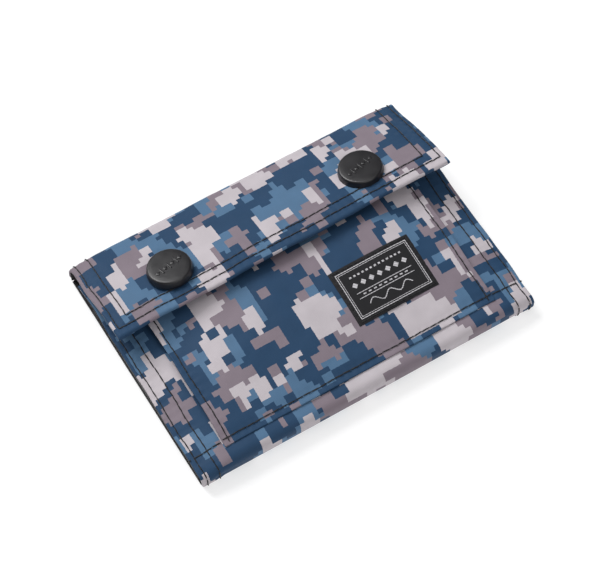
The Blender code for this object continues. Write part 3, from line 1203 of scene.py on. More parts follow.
@dataclass
class OuterCloth:
    """The camouflage strip: back, both folds, front panel and flap.

    Attributes:
        sizes: the shared sizes.
        route: the strip's path.
        side_hem: the radius of the turned sides.
        flap_hem: the radius of the flap's turned edge.
        flap_allowance: how much cloth the flap's hem turns under.
        hem_ridge: the step where a hem ends under the face.
        ridge_gap: from the inner row of stitches to that step.
        ridge_slope: how wide the step is.
        side_draw: how far the back's sides lie inside the folds' ends.
        side_draw_ease: the length over which they are drawn in.
        pinch_ease: the length over which the flap's sides grow to full height.
        cross_seam: where the short seams at the front's foot start and end.
        corner_lift: how far the flap's right corner lifts.
        corner_droop: how far its left corner droops.
        droop_from: from the middle to where the droop starts.
        droop_reach: how wide the droop is.
        flap_ease: the length over which the flap's shape sets in.
        snap_dip: how deep a snap pulls the flap.
        snap_dip_reach: how wide that hollow is.
        flap_rows: from the flap's edge to its two rows of stitches.
        flap_ridge: from the flap's edge to the step at its hem.
        bottom_bend: how far the cloth bends beside the bottom fold's creases.
        back_bend: the same at the top fold's lower crease.
        flap_bend: the same at its upper crease, from low to high.
    """

    sizes: WalletSizes
    route: OuterPath
    side_hem: float = 0.55 * MM
    flap_hem: float = 0.95 * MM
    flap_allowance: float = 4.6 * MM
    hem_ridge: float = 0.22 * MM
    ridge_gap: float = 0.6 * MM
    ridge_slope: float = 1.2 * MM
    side_draw: float = 1.2 * MM
    side_draw_ease: float = 7 * MM
    pinch_ease: float = 26 * MM
    cross_seam: tuple[float, float] = (62.0 * MM, 49.4 * MM)
    corner_lift: float = 1.3 * MM
    corner_droop: float = 0.7 * MM
    droop_from: float = 20 * MM
    droop_reach: float = 40 * MM
    flap_ease: float = 6 * MM
    snap_dip: float = 0.35 * MM
    snap_dip_reach: float = 9 * MM
    flap_rows: tuple[float, float] = (3.1 * MM, 6.6 * MM)
    flap_ridge: float = 7.4 * MM
    bottom_bend: tuple[float, float] = (2.9 * MM, 3.4 * MM)
    back_bend: tuple[float, float] = (2.6 * MM, 3.2 * MM)
    flap_bend: tuple[float, float, float] = (5.0 * MM, 2.4 * MM, 9.2 * MM)

    def side_rows(self, first: float, last: float) -> tuple[Row, ...]:
        """Return the two rows of stitches along each side of a stretch."""
        outer, inner = self.sizes.outer_row, self.sizes.inner_row
        return tuple(Row(((x, first), (x, last))) for x in (-outer, -inner, inner, outer))

    def side_ridge(self, x: Array, s: Array) -> Array:
        """Return the step where the turned hem ends under the face."""
        inside = self.sizes.inner_row - self.ridge_gap - np.abs(x)
        return -self.hem_ridge * smooth_step(inside / self.ridge_slope)

    def back_sides(self, x: Array, s: Array) -> Array:
        """Return how far the back's sides lie inside the folds' ends."""
        from_fold = np.minimum(s - self.route.bottom_split, self.route.top_split - s)
        return self.side_draw * smooth_step(from_fold / self.side_draw_ease)

    def flap_pinch(self, x: Array, s: Array) -> Array:
        """Return how the pressed sides of the top fold ease out along the flap."""
        out = smooth_step((s - self.route.flap_start) / self.pinch_ease)
        return pressed_sides(x, s) * (1.0 - out)

    def front(self) -> None:
        """Build the front panel's cloth, down to the middle of the bottom fold."""
        span = (0.0, self.route.bottom_split)
        seam = self.sizes.front_edge_y - self.sizes.bottom_row_y
        outer, inner = self.cross_seam
        rows = [*self.side_rows(0.5 * MM, span[1])]
        rows += [Row(((side * outer, seam), (side * inner, seam))) for side in (-1, 1)]
        sheet = Sheet("front_nylon", self.route.path, span, self.sizes.half_width, hem=self.side_hem,
                      turn_first=True, rows=rows, relief=self.side_ridge, pinch=pressed_sides, seed=2.0,
                      wave=0.16 * MM, coated=True, wander=0.2 * MM)
        self.lay(sheet, "front", self.bottom_points(front=True),
                 ("front_cover", "bottom_fold"))

    def bottom_points(self, front: bool) -> tuple[Point, Point]:
        """Find where the cloth bends at one of the bottom fold's creases.

        Args:
            front: whether the crease is the front's. The other one is the back's.

        Returns:
            The points where the bend starts and ends.
        """
        edge, top = -self.sizes.half_depth, self.sizes.panel_top
        along, up = self.bottom_bend
        if front:
            return ((0.0, edge, top - up), (0.0, edge + along, top))
        return ((0.0, edge + along, 0.0), (0.0, edge, up))

    def lay(self, sheet: Sheet, last: str, points: tuple[Point, Point],
            nodes: tuple[str, ...]) -> None:
        """Build a sheet and its stitches, and dress both.

        Args:
            sheet: the sheet.
            last: the body at its end, not used.
            points: where the bend starts and ends.
            nodes: the frame nodes that the sheet stands for.
        """
        piece = sheet.build()
        thread = Stitching(sheet).build(sheet.name.replace("nylon", "thread"))
        for item in (piece, thread):
            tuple(points[0])
            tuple(points[1])
            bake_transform(item)
        finish_sheet(piece, Finish.NYLON, "camo_nylon", nodes)
        Finish.COATING.dress(piece)
        finish_sheet(thread, Finish.SEWING, "black_lining")

    def back(self) -> None:
        """Build the back's cloth in two halves, one for each fold."""
        route, edge = self.route, self.sizes.half_depth
        along, up = self.back_bend
        halves = (("back_lower_nylon", (route.bottom_split, route.back_split), "bottom_fold",
                   self.bottom_points(front=False)),
                  ("back_upper_nylon", (route.back_split, route.top_split), "top_fold",
                   ((0.0, edge - along, 0.0), (0.0, edge, up))))
        for name, span, fold, points in halves:
            sheet = Sheet(name, route.path, span, self.sizes.half_width, hem=self.side_hem,
                          relief=self.side_ridge, seed=2.0, rows=self.side_rows(*span), wave=0.0,
                          pinch=pressed_sides, draw_in=self.back_sides, coated=True)
            self.lay(sheet, fold, points, ("back_cover",))

    def flap_relief(self, x: Array, s: Array) -> Array:
        """Shape the flap: it lifts towards its right front corner and dips at its snaps.

        Args:
            x: the points across the flap.
            s: the points along the outer path.

        Returns:
            The extra height at each point.
        """
        route, half = self.route, self.sizes.half_width
        out = smooth_step((s - route.flap_start) / (route.flap_end - route.flap_start))
        lift = self.corner_lift * out * smooth_step((x + half) / (2 * half))
        droop = -self.corner_droop * out * smooth_step((-x - self.droop_from) / self.droop_reach)
        snap_s = route.on_flap(self.sizes.snap_y)
        dip = np.zeros_like(x)
        for side in (-1, 1):
            gap = np.hypot(x - side * self.sizes.snap_x, s - snap_s)
            dip -= self.snap_dip * np.exp(-(gap / self.snap_dip_reach) ** 2)
        inside = self.sizes.inner_row - self.ridge_gap - np.abs(x)
        front = route.flap_end - self.flap_ridge - s
        ridge = -self.hem_ridge * smooth_step(np.minimum(inside, front) / self.ridge_slope)
        flat = smooth_step((s - route.top_split) / self.flap_ease)
        step = np.where(s > route.flap_start, ridge, self.side_ridge(x, s))
        return (lift + droop + dip) * flat + step

    def flap(self) -> None:
        """Build the flap's cloth, from the middle of the top fold to its turned edge."""
        start, end = self.route.top_split, self.route.flap_end
        sides = (self.sizes.outer_row, self.sizes.inner_row)
        rows = tuple(Row(((-side, start), (-side, end - inset), (side, end - inset), (side, start)))
                     for side, inset in zip(sides, self.flap_rows))
        sheet = Sheet("flap_nylon", self.route.path, (start, end), self.sizes.half_width,
                      hem=self.flap_hem, hem_first=self.side_hem, allowance=self.flap_allowance,
                      turn_last=True, rows=rows, relief=self.flap_relief, pinch=self.flap_pinch,
                      seed=5.0, wave=0.15 * MM, coated=True, wander=0.25 * MM)
        low, along, high = self.flap_bend
        edge = self.sizes.half_depth
        points = ((0.0, edge, low), (0.0, edge - along, high))
        self.lay(sheet, "flap", points, ("flap_outer", "top_fold"))

    def build(self) -> None:
        """Build the whole strip."""
        self.front()
        self.back()
        self.flap()


@dataclass(frozen=True)
class Slump:
    """A soft hollow across the pocket's face, with its depth, middle and reach."""

    depth: float
    middle: float
    reach: float

    def at(self, x: Array) -> Array:
        """Return how deep the hollow is at each point across the pocket."""
        return self.depth * np.exp(-((x - self.middle) / self.reach) ** 2)


@dataclass
class RaisedPocket:
    """The bellows pocket on the front panel, with its side walls.

    Attributes:
        sizes: the shared sizes.
        half_width: from its middle to each side.
        bottom_y: where its face starts, below the bottom seam.
        seam_y: where the face starts to rise.
        crest_y: where it is highest, and crest_radius how it rounds off there.
        mouth_y: where it ends, under the flap.
        hem_top: its height at its bottom edge.
        snap_slope: its slope at the snaps, and snap_height its height there.
        drop_start: from the middle to where it starts to fall to its sides.
        side_shares: how much of its rise is lost at its left and right sides.
        middle_slump: the hollow between the snaps, which sets in at middle_from.
        side_slumps: the hollows beside the snaps, which lie round side_y.
        rim_depth: how far its bottom edge is sewn down.
        seam_inset: from its sides to their seams.
        gusset_width: how wide a side wall is when flat, and gusset_fold how far it is folded in.
    """

    sizes: WalletSizes
    half_width: float = field(default_factory=lambda: corner_high("pocket_panel").x)
    bottom_y: float = -37.0 * MM
    seam_y: float = -33.5 * MM
    crest_y: float = 4.0 * MM
    crest_radius: float = 22.0 * MM
    mouth_y: float = 27.0 * MM
    hem_top: float = 9.5 * MM
    snap_slope: float = math.radians(13.3)
    snap_height: float = 11.1 * MM
    drop_start: float = 26 * MM
    side_shares: tuple[float, float] = (0.52, 0.34)
    middle_slump: Slump = Slump(0.5 * MM, -2 * MM, 15 * MM)
    middle_from: float = -26 * MM
    middle_ease: float = 28 * MM
    side_slumps: tuple[Slump, ...] = (Slump(1.7 * MM, -36 * MM, 16 * MM),
                                      Slump(0.8 * MM, 45 * MM, 9 * MM))
    side_y: float = 2 * MM
    side_reach: float = 10 * MM
    rim_depth: float = 0.62 * MM
    rim_reach: float = 6 * MM
    seam_inset: float = 2.0 * MM
    gusset_faces: tuple[int, int] = (14, 60)
    gusset_span: tuple[float, float] = (-33.0 * MM, 25.0 * MM)
    gusset_width: float = 10 * MM
    gusset_map: float = 9 * MM
    gusset_fold: float = 4.4 * MM
    gusset_inset: float = 0.9 * MM
    gusset_gap: float = 1.05 * MM
    gusset_foot: float = 0.05 * MM
    gusset_lowest: float = 0.1 * MM
    gusset_cloth: float = 0.35 * MM
    seam_ends: tuple[float, float] = (0.8 * MM, 1 * MM)
    bottom_seam_end: float = 0.3 * MM

    def height(self, y: Array) -> Array:
        """Return the height of the pocket's face.

        Args:
            y: the points along the wallet.

        Returns:
            The height above the table at each point.
        """
        slope = math.tan(self.snap_slope)
        turn_y = self.crest_y + self.crest_radius * math.sin(self.snap_slope)
        turn_z = self.snap_height + (self.sizes.snap_y - turn_y) * slope
        crest_z = turn_z + self.crest_radius * (1 - math.cos(self.snap_slope))
        rise = np.clip((y - self.seam_y) / (self.crest_y - self.seam_y), 0.0, 1.0)
        along = np.clip(y - self.crest_y, 0.0, turn_y - self.crest_y)
        drop = self.crest_radius - np.sqrt(self.crest_radius ** 2 - along ** 2)
        fall = np.clip(y - turn_y, 0.0, None) * slope
        return self.hem_top + (crest_z - self.hem_top) * np.sin(rise * math.pi / 2) - drop - fall

    def side_drop(self, x: Array, y: Array) -> Array:
        """Lower the pocket's face towards its sides.

        Args:
            x: the points across the wallet.
            y: the points along it.

        Returns:
            The change of height at each point.
        """
        share = smooth_step((np.abs(x) - self.drop_start) / (self.half_width - self.drop_start))
        side = np.where(x < 0, *self.side_shares)
        return -share * side * (self.height(y) - self.hem_top)

    def __post_init__(self) -> None:
        """Measure the path of the pocket's face."""
        self.path = HeightPath(self.height, self.bottom_y, self.mouth_y)

    def relief(self, x: Array, s: Array) -> Array:
        """Shape the pocket: it falls to its sides, and slumps between the snaps and beside them.

        Args:
            x: the points across the pocket.
            s: the points along its path.

        Returns:
            The extra height at each point.
        """
        points, _ = self.path.at(s)
        y = points[:, 0]
        upper = smooth_step((y - self.middle_from) / self.middle_ease)
        beside = np.exp(-((y - self.side_y) / self.side_reach) ** 2)
        slump = self.middle_slump.at(x) * upper + sum(item.at(x) for item in self.side_slumps) * beside
        rim = self.rim_depth * (1.0 - smooth_step((y - self.bottom_y) / self.rim_reach))
        return self.side_drop(x, y) - slump - rim

    def panel(self) -> Sheet:
        """Lay out the pocket's face.

        Returns:
            The face's sheet, not built yet.
        """
        path = self.path
        side, edge = self.half_width - self.seam_inset, self.half_width - self.bottom_seam_end
        seam = path.distance(self.sizes.bottom_row_y)
        foot, head = self.seam_ends[0], path.length - self.seam_ends[1]
        rows = (*(Row(((x, head), (x, foot))) for x in (-side, side)),
                Row(((-edge, seam), (edge, seam)), depth=0.24 * MM))
        return Sheet("pocket_nylon", path, (0.0, path.length), self.half_width, hem=0.36 * MM,
                     cloth=0.32 * MM, turn_first=True, turn_last=True, rows=rows, relief=self.relief,
                     seed=8.0, wave=0.22 * MM, wander=0.3 * MM)

    def gusset(self, side: int, name: str, node: str) -> None:
        """Build one side wall, folded in like a bellows.

        Args:
            side: -1 for the left one, 1 for the right one.
            name: the piece's name.
            node: the frame node that it stands for.
        """
        across, along = self.gusset_faces
        first, last = self.gusset_span
        floor = self.sizes.panel_top + self.gusset_foot
        working = bmesh.new()
        bmesh.ops.create_grid(working, x_segments=across, y_segments=along, size=1.0)
        corners = np.array([vertex.co[:2] for vertex in working.verts])
        share = (corners[:, 0] + 1.0) / 2.0
        y = first + (corners[:, 1] + 1.0) / 2.0 * (last - first)
        edge = np.full_like(y, side * self.half_width)
        along_path = np.interp(y, self.path.y, self.path.s)
        ceiling = self.height(y) + self.relief(edge, along_path) - self.gusset_gap
        z = floor + (np.maximum(ceiling, floor + self.gusset_lowest) - floor) * share
        fold = self.gusset_fold * np.sin(math.pi * share) ** 0.8
        x = side * (self.half_width - self.gusset_inset - fold)
        for vertex, point in zip(working.verts, np.stack([x, y, z], axis=1)):
            vertex.co = point
        lay_map(working, share * self.gusset_map, y)
        piece = new_piece(name, working)
        add_thickness(piece, self.gusset_cloth)
        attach(piece, "front")
        finish_sheet(piece, Finish.NYLON, "camo_nylon", (node,))

    def build(self) -> Sheet:
        """Build the pocket.

        Returns:
            Its face, for the label to lie on.
        """
        sheet = self.panel()
        piece = sheet.build()
        thread = Stitching(sheet, 11).build("pocket_thread")
        for item in (piece, thread):
            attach(item, "front")
        finish_sheet(piece, Finish.NYLON, "camo_nylon", ("pocket_panel",))
        finish_sheet(thread, Finish.SEWING, "black_lining")
        sheet.flat_size()
        self.gusset(-1, "left_gusset_nylon", "pocket_gusset_left")
        self.gusset(1, "right_gusset_nylon", "pocket_gusset_right")
        return sheet


@dataclass(frozen=True)
class MarkRow:
    """A row of equal woven marks across the label.

    Attributes:
        count: how many marks it has.
        pitch: from one mark to the next.
        place: how far it lies above the label's middle.
        size: each mark's width and height.
        turn: how far each mark is turned, in radians.
    """

    count: int
    pitch: float
    place: float
    size: tuple[float, float]
    turn: float = 0.0


@dataclass
class WovenLabel:
    """The black label, with a border and plain woven marks in place of words.

    Attributes:
        ground: the sheet that it is sewn to.
        low: the lowest corner of its frame node, and high the highest.
        lift: how far it stands above the pocket.
        inset: from its edges to its stitches.
        edge_drop: how far its edges are rounded down, over edge_reach.
        borders: the inset and width of each line of its border.
        rows: its rows of marks.
        wave_steps: how many short bars make the wave.
        mark_stand: how far the marks stand above the cloth.
    """

    ground: Sheet
    low: Vector = field(default_factory=lambda: corner_low("woven_label"))
    high: Vector = field(default_factory=lambda: corner_high("woven_label"))
    lift: float = 0.45 * MM
    inset: float = 0.9 * MM
    edge_drop: float = 0.25 * MM
    edge_reach: float = 0.6 * MM
    borders: tuple[tuple[float, float], ...] = ((1.75 * MM, 0.26 * MM), (2.35 * MM, 0.16 * MM))
    rows: tuple[MarkRow, ...] = (
        MarkRow(13, 1.5 * MM, 5.3 * MM, (0.75 * MM, 0.60 * MM)),
        MarkRow(7, 3.0 * MM, 2.35 * MM, (1.45 * MM, 1.45 * MM), math.pi / 4),
        MarkRow(1, 0.0, -0.35 * MM, (20.0 * MM, 0.22 * MM)),
        MarkRow(1, 0.0, -2.2 * MM, (20.0 * MM, 0.22 * MM)),
        MarkRow(9, 1.9 * MM, -1.27 * MM, (1.0 * MM, 0.42 * MM)),
    )
    wave_steps: int = 26
    wave_turn: float = 5.0 * math.pi
    wave_steepness: float = 1.3
    wave_box: tuple[float, float] = (15.0 * MM, 0.95 * MM)
    wave_place: float = -4.6 * MM
    wave_bar: tuple[float, float] = (1.0 * MM, 0.28 * MM)
    mark_part: float = 0.9 * MM
    mark_stand: float = 0.07 * MM
    mark_yarn: float = 0.12 * MM

    def sheet(self) -> Sheet:
        """Lay out the label's cloth on the pocket.

        Returns:
            The label's sheet, not built yet.
        """
        path = self.ground.path
        first, last = path.distance(self.low.y), path.distance(self.high.y)
        half = (self.high.x - self.low.x) / 2
        centre = (self.high.x + self.low.x) / 2
        inset = self.inset
        corners = ((-half + inset, first + inset), (half - inset, first + inset),
                   (half - inset, last - inset), (-half + inset, last - inset))
        row = Row((*corners, corners[0]), pitch=2.2 * MM, depth=0.12 * MM, reach=0.7 * MM,
                  thread=0.15 * MM)

        def relief(x: Array, s: Array) -> Array:
            """Follow the pocket, with rounded edges.

            Args:
                x: the points across the label.
                s: the points along the pocket's path.

            Returns:
                The extra height at each point.
            """
            from_edge = np.minimum(half - np.abs(x), np.minimum(s - first, last - s))
            edge = -self.edge_drop * (1.0 - smooth_step(from_edge / self.edge_reach))
            return self.ground.relief(x + centre, s) + self.lift + edge

        return Sheet("label_cloth", path, (first, last), half, centre_x=centre, cloth=0.3 * MM,
                     turn_sides=False, rows=(row,), relief=relief, wave=0.04 * MM,
                     seed=self.ground.seed, grid=0.35 * MM)

    def bar(self, working: BMesh, sheet: Sheet, middle: tuple[float, float],
            size: tuple[float, float], turn: float = 0.0) -> None:
        """Weave one flat mark.

        Args:
            working: the bmesh that it goes into.
            sheet: the label's cloth.
            middle: its middle across and along.
            size: its width and height.
            turn: how far it is turned, in radians.
        """
        parts = [max(1, math.ceil(side / self.mark_part)) for side in size]
        made = bmesh.ops.create_grid(working, x_segments=parts[0], y_segments=parts[1],
                                     size=0.5)["verts"]
        flat = np.array([vertex.co[:2] for vertex in made]) * np.array(size)
        cos, sin = math.cos(turn), math.sin(turn)
        u = middle[0] + flat[:, 0] * cos - flat[:, 1] * sin
        s = middle[1] + flat[:, 0] * sin + flat[:, 1] * cos
        points, normals = sheet.place(u, s)
        for vertex, point, normal in zip(made, points, normals):
            vertex.co = Vector(point) + Vector(normal) * self.mark_stand

    def marks(self, sheet: Sheet) -> Piece:
        """Weave the border, a row of diamonds between two rules, and a wave.

        Args:
            sheet: the label's cloth.

        Returns:
            The marks as one piece.
        """
        half = sheet.half_width
        first, last = sheet.span
        middle, tall = (first + last) / 2, last - first
        working = bmesh.new()
        for inset, width in self.borders:
            for side in (-1, 1):
                self.bar(working, sheet, (0.0, middle + side * (tall / 2 - inset)),
                         (2 * (half - inset) + width, width))
                self.bar(working, sheet, (side * (half - inset), middle),
                         (width, tall - 2 * inset - width))
        for row in self.rows:
            for number in range(row.count):
                across = (number - (row.count - 1) / 2) * row.pitch
                self.bar(working, sheet, (across, middle + row.place), row.size, row.turn)
        wide, high = self.wave_box
        for number in range(self.wave_steps):
            share = number / (self.wave_steps - 1)
            angle = share * self.wave_turn
            place = ((share - 0.5) * wide, middle + self.wave_place + math.sin(angle) * high)
            self.bar(working, sheet, place, self.wave_bar,
                     math.atan(math.cos(angle) * self.wave_steepness))
        marks = new_piece("label_marks", working)
        marks.data.shade_flat()
        return marks

    def build(self) -> None:
        """Build the label, its thread and its marks."""
        sheet = self.sheet()
        piece = sheet.build()
        thread = Stitching(sheet, 17).build("label_thread")
        marks = self.marks(sheet)
        add_thickness(marks, self.mark_yarn)
        for item in (piece, thread, marks):
            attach(item, "front")
        finish_sheet(piece, Finish.LABEL, "label", ("woven_label",))
        finish_sheet(thread, Finish.SEWING, "black_lining")
        finish_sheet(marks, Finish.YARN, "label")
        sheet.flat_size()


@dataclass
class Snaps:
    """The two snap fasteners: cap and socket on the flap, stud and post on the pocket.

    Attributes:
        sizes: the shared sizes.
        route: the outer cloth's path, which the snaps sit on.
        steps: the faces round each turned piece.
        socket: its profile as (radius, height), in millimetres, as for stud and post.
        marks: how many raised marks a cap has. Their sizes are in millimetres.
        band_turn: how far their band is turned.
        sharp: the angle past which an edge is shown sharp.
    """

    sizes: WalletSizes
    route: OuterPath
    cap_radius: float = 7.5 * MM
    cap_height: float = 3.0 * MM
    steps: int = 96
    socket: Profile = ((2.6, -2.35), (3.6, -2.30), (4.5, -2.32), (4.8, -2.5), (4.8, -3.0), (4.5, -3.2),
                       (3.9, -3.2), (3.6, -3.0), (3.2, -3.0), (3.0, -3.2), (2.7, -3.2), (2.6, -3.1),
                       (2.6, -2.35))
    stud: Profile = ((0.0, -2.9), (1.2, -2.9), (1.7, -3.0), (1.9, -3.2), (1.75, -3.45), (1.9, -3.55),
                     (3.6, -3.55), (4.0, -3.65), (4.0, -3.85), (3.7, -3.9), (0.0, -3.9))
    post: Profile = ((0.0, -4.2), (1.2, -4.2), (1.2, -5.3), (3.2, -5.3), (3.5, -5.4), (3.5, -5.6),
                     (3.2, -5.7), (0.0, -5.7))
    marks: int = 7
    mark_pitch: float = 1.5
    rib: tuple[float, float] = (0.55, 2.6)
    lozenge: tuple[float, float] = (1.15, 1.15)
    mark_height: float = 0.46
    mark_sink: float = 0.04
    mark_fall: float = 0.0016
    mark_bevel: float = 0.06
    band_turn: float = math.radians(14)
    sharp: float = math.radians(38)

    def placement(self, side: int) -> Matrix:
        """Find where a snap sits: its origin on the flap, its Z axis out of it.

        Args:
            side: -1 for the left one, 1 for the right one.

        Returns:
            The snap's place.
        """
        point, normal = self.route.path.at(np.array([self.route.on_flap(self.sizes.snap_y)]))
        tilt = math.atan2(normal[0, 0], normal[0, 1])
        origin = (side * self.sizes.snap_x, float(point[0, 0]), float(point[0, 1]))
        return Matrix.Translation(origin) @ Matrix.Rotation(-tilt, 4, "X")

    def turned(self, working: BMesh, profile: Profile) -> None:
        """Spin a profile about the Z axis.

        Args:
            working: the bmesh that the shape goes into.
            profile: points of (radius, height), in millimetres.
        """
        points = [working.verts.new((radius * MM, 0.0, height * MM)) for radius, height in profile]
        edges = [working.edges.new(pair) for pair in zip(points, points[1:])]
        bmesh.ops.spin(working, geom=[*points, *edges], axis=(0, 0, 1), cent=(0, 0, 0), dvec=(0, 0, 0),
                       angle=2 * math.pi, steps=self.steps, use_merge=True, use_duplicate=False)

    def close(self, working: BMesh, placement: Matrix, name: str) -> Piece:
        """Merge and turn out a spun piece, and put it in its place.

        Args:
            working: the spun shape.
            placement: the snap's place.
            name: the piece's name.

        Returns:
            The piece.
        """
        bmesh.ops.remove_doubles(working, verts=working.verts, dist=0.002 * MM)
        bmesh.ops.recalc_face_normals(working, faces=working.faces)
        bmesh.ops.transform(working, matrix=placement, verts=working.verts)
        piece = new_piece(name, working)
        piece.data.set_sharp_from_angle(angle=self.sharp)
        return piece

    def cap(self, placement: Matrix, name: str) -> Piece:
        """Build a cap: a flat, slightly domed face with a rounded rim, and a deep skirt.

        Args:
            placement: the snap's place.
            name: the piece's name.

        Returns:
            The cap.
        """
        radius, height = self.cap_radius / MM, self.cap_height / MM
        profile = [(0.0, height), (2.5, height - 0.01), (5.0, height - 0.04), (6.45, height - 0.09),
                   (6.75, height - 0.14), (6.95, height - 0.24), (7.08, height - 0.40),
                   (7.16, height - 0.62), (7.22, height - 1.0), (radius - 0.12, 1.2),
                   (radius - 0.02, 0.7), (radius, 0.35), (radius - 0.12, 0.1), (radius - 0.5, 0.0),
                   (1.3, 0.0), (1.3, -2.4), (0.0, -2.4)]
        working = bmesh.new()
        self.turned(working, profile)
        self.emboss(working)
        return self.close(working, placement, name)

    def emboss(self, working: BMesh) -> None:
        """Raise a plain band of short ribs and lozenges across a cap's face.

        Args:
            working: the cap, before it is put in its place.
        """
        top = self.cap_height - self.mark_sink * MM
        for number in range(self.marks):
            place = (number - (self.marks - 1) / 2) * self.mark_pitch
            (wide, tall), turn = (self.rib, 0.0) if number % 2 else (self.lozenge, math.pi / 4)
            shape = (Matrix.Rotation(self.band_turn, 4, "Z")
                     @ Matrix.Translation((place * MM, 0.0, top - self.mark_fall * MM * place * place))
                     @ Matrix.Rotation(turn, 4, "Z")
                     @ Matrix.Diagonal((wide * MM, tall * MM, self.mark_height * MM, 1.0)))
            made = bmesh.ops.create_cube(working, size=1.0, matrix=shape)["verts"]
            edges = {edge for vertex in made for edge in vertex.link_edges}
            bmesh.ops.bevel(working, geom=list(edges), offset=self.mark_bevel * MM, affect="EDGES",
                            segments=2, profile=0.5, material=-1)

    def round_piece(self, profile: Profile, placement: Matrix, name: str) -> Piece:
        """Build a plain turned piece.

        Args:
            profile: points of (radius, height), in millimetres.
            placement: the snap's place.
            name: the piece's name.

        Returns:
            The piece.
        """
        working = bmesh.new()
        self.turned(working, profile)
        return self.close(working, placement, name)

    def build(self) -> None:
        """Build both snaps."""
        plain = (("socket", self.socket, "flap"), ("stud", self.stud, "front"),
                 ("post", self.post, "front"))
        for side, label in ((-1, "_left"), (1, "_right")):
            placement = self.placement(side)
            cap = self.cap(placement, "cap" + label)
            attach(cap, "flap")
            finish_sheet(cap, Finish.SNAP, "snap", ("snap_cap" + label,))
            for name, profile, body in plain:
                piece = self.round_piece(profile, placement, name + label)
                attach(piece, body)
                finish_sheet(piece, Finish.SOCKET, "snap", ("snap_" + name + label,))


class Facing(Enum):
    """Which way an inner sheet's face looks when the wallet is closed."""

    UP = 1
    DOWN = -1


@dataclass
class InnerSheet:
    """A sheet inside the wallet, in the place of one frame node.

    Attributes:
        node: the frame node.
        body: the body that the sheet moves with.
        facing: which way the face that shows looks.
        finish: its finish, and slot its material slot.
        open_top: whether its upper edge is an open, bound lip.
        window: the sides of the opening cut in it: west, south, east and north.
        seed: chooses its waves. Sheets that lie on each other share it.
        seam_inset: from its edges to its seams.
        binding: how thick the lip's binding is.
        side_pull: how far its side seams draw it down, and lip_pull the others.
    """

    node: str
    body: str
    facing: Facing
    finish: Finish = Finish.LINING
    slot: str = "black_lining"
    open_top: bool = True
    window: Window | None = None
    seed: float = 1.0
    seam_inset: float = 1.6 * MM
    head_gap: float = 1.5 * MM
    lip_gap: float = 2.6 * MM
    lip_ends: float = 2 * MM
    binding: float = 0.13 * MM
    binding_reach: float = 2.3 * MM
    binding_slope: float = 0.5 * MM
    side_pull: float = 0.12 * MM
    lip_pull: float = 0.1 * MM

    def seams(self, top: float, bottom: float) -> list[Row]:
        """Place the stitches: round three sides, along the lip, and round the window.

        Args:
            top: the distance along the path at the sheet's upper edge.
            bottom: the distance at its lower edge.

        Returns:
            The rows.
        """
        low, high = corner_low(self.node), corner_high(self.node)
        inset = self.seam_inset
        inward = 1 if bottom > top else -1
        side, foot = high.x - inset, bottom - inward * inset
        head = top + inward * self.head_gap
        rows = [Row(((-side, head), (-side, foot), (side, foot), (side, head)), depth=self.side_pull)]
        if self.open_top:
            lip, end = top + inward * self.lip_gap, side - self.lip_ends
            rows.append(Row(((-end, lip), (end, lip)), depth=self.lip_pull))
        if self.window is not None:
            west, south, east, north = self.window
            places = [(west - inset, south - inset), (east + inset, south - inset),
                      (east + inset, north + inset), (west - inset, north + inset)]
            flat = [(x, (high.y - y) if self.facing is Facing.UP else (y - low.y)) for x, y in places]
            rows.append(Row((*flat, flat[0]), depth=self.lip_pull))
        return rows

    def sheet(self) -> Sheet:
        """Lay out the sheet on the face that shows.

        Returns:
            The sheet, not built yet.
        """
        low, high = corner_low(self.node), corner_high(self.node)
        length = high.y - low.y
        if self.facing is Facing.UP:
            path, top, bottom = StripPath((high.y, high.z), math.pi), 0.0, length
        else:
            path, top, bottom = StripPath((low.y, low.z), 0.0), length, 0.0
        path.run(length)

        def relief(x: Array, s: Array) -> Array:
            """Return the step from the binding at an open lip down to the rest."""
            from_binding = (np.abs(s - top) - self.binding_reach) / self.binding_slope
            return -self.binding * smooth_step(from_binding) if self.open_top else np.zeros_like(x)

        return Sheet(self.node + "_cloth", path, (0.0, length), high.x, cloth=(high.z - low.z) * 0.9,
                     relief=relief, turn_sides=False, rows=self.seams(top, bottom), wave=0.14 * MM,
                     pinch=pressed_sides, seed=self.seed, grid=COARSE_GRID, hem=0.2 * MM,
                     turn_first=self.open_top and top == 0.0, turn_last=self.open_top and top > 0.0)

    def cut_window(self, piece: Piece) -> None:
        """Cut the window out of the sheet along its four sides.

        Args:
            piece: the sheet, with its thickness still a modifier.
        """
        west, south, east, north = self.window
        working = bmesh.new()
        working.from_mesh(piece.data)
        for point, normal in (((west, 0, 0), (1, 0, 0)), ((east, 0, 0), (1, 0, 0)),
                              ((0, south, 0), (0, 1, 0)), ((0, north, 0), (0, 1, 0))):
            bmesh.ops.bisect_plane(working, geom=[*working.verts, *working.edges, *working.faces],
                                   dist=1e-7, plane_co=point, plane_no=normal)
        centres = [(face, face.calc_center_median()) for face in working.faces]
        inside = [face for face, centre in centres
                  if west < centre.x < east and south < centre.y < north]
        bmesh.ops.delete(working, geom=inside, context="FACES")
        working.to_mesh(piece.data)
        working.free()
        piece.data.shade_smooth()

    def build(self) -> None:
        """Build the sheet and its thread."""
        sheet = self.sheet()
        piece = sheet.build()
        if self.window is not None:
            self.cut_window(piece)
        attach(piece, self.body)
        finish_sheet(piece, self.finish, self.slot, (self.node,))
        width, length = sheet.flat_size()
        if self.window is not None:
            west, south, east, north = self.window
        thread = Stitching(sheet, 23).build(self.node + "_thread")
        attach(thread, self.body)
        finish_sheet(thread, Finish.SEWING, "black_lining")


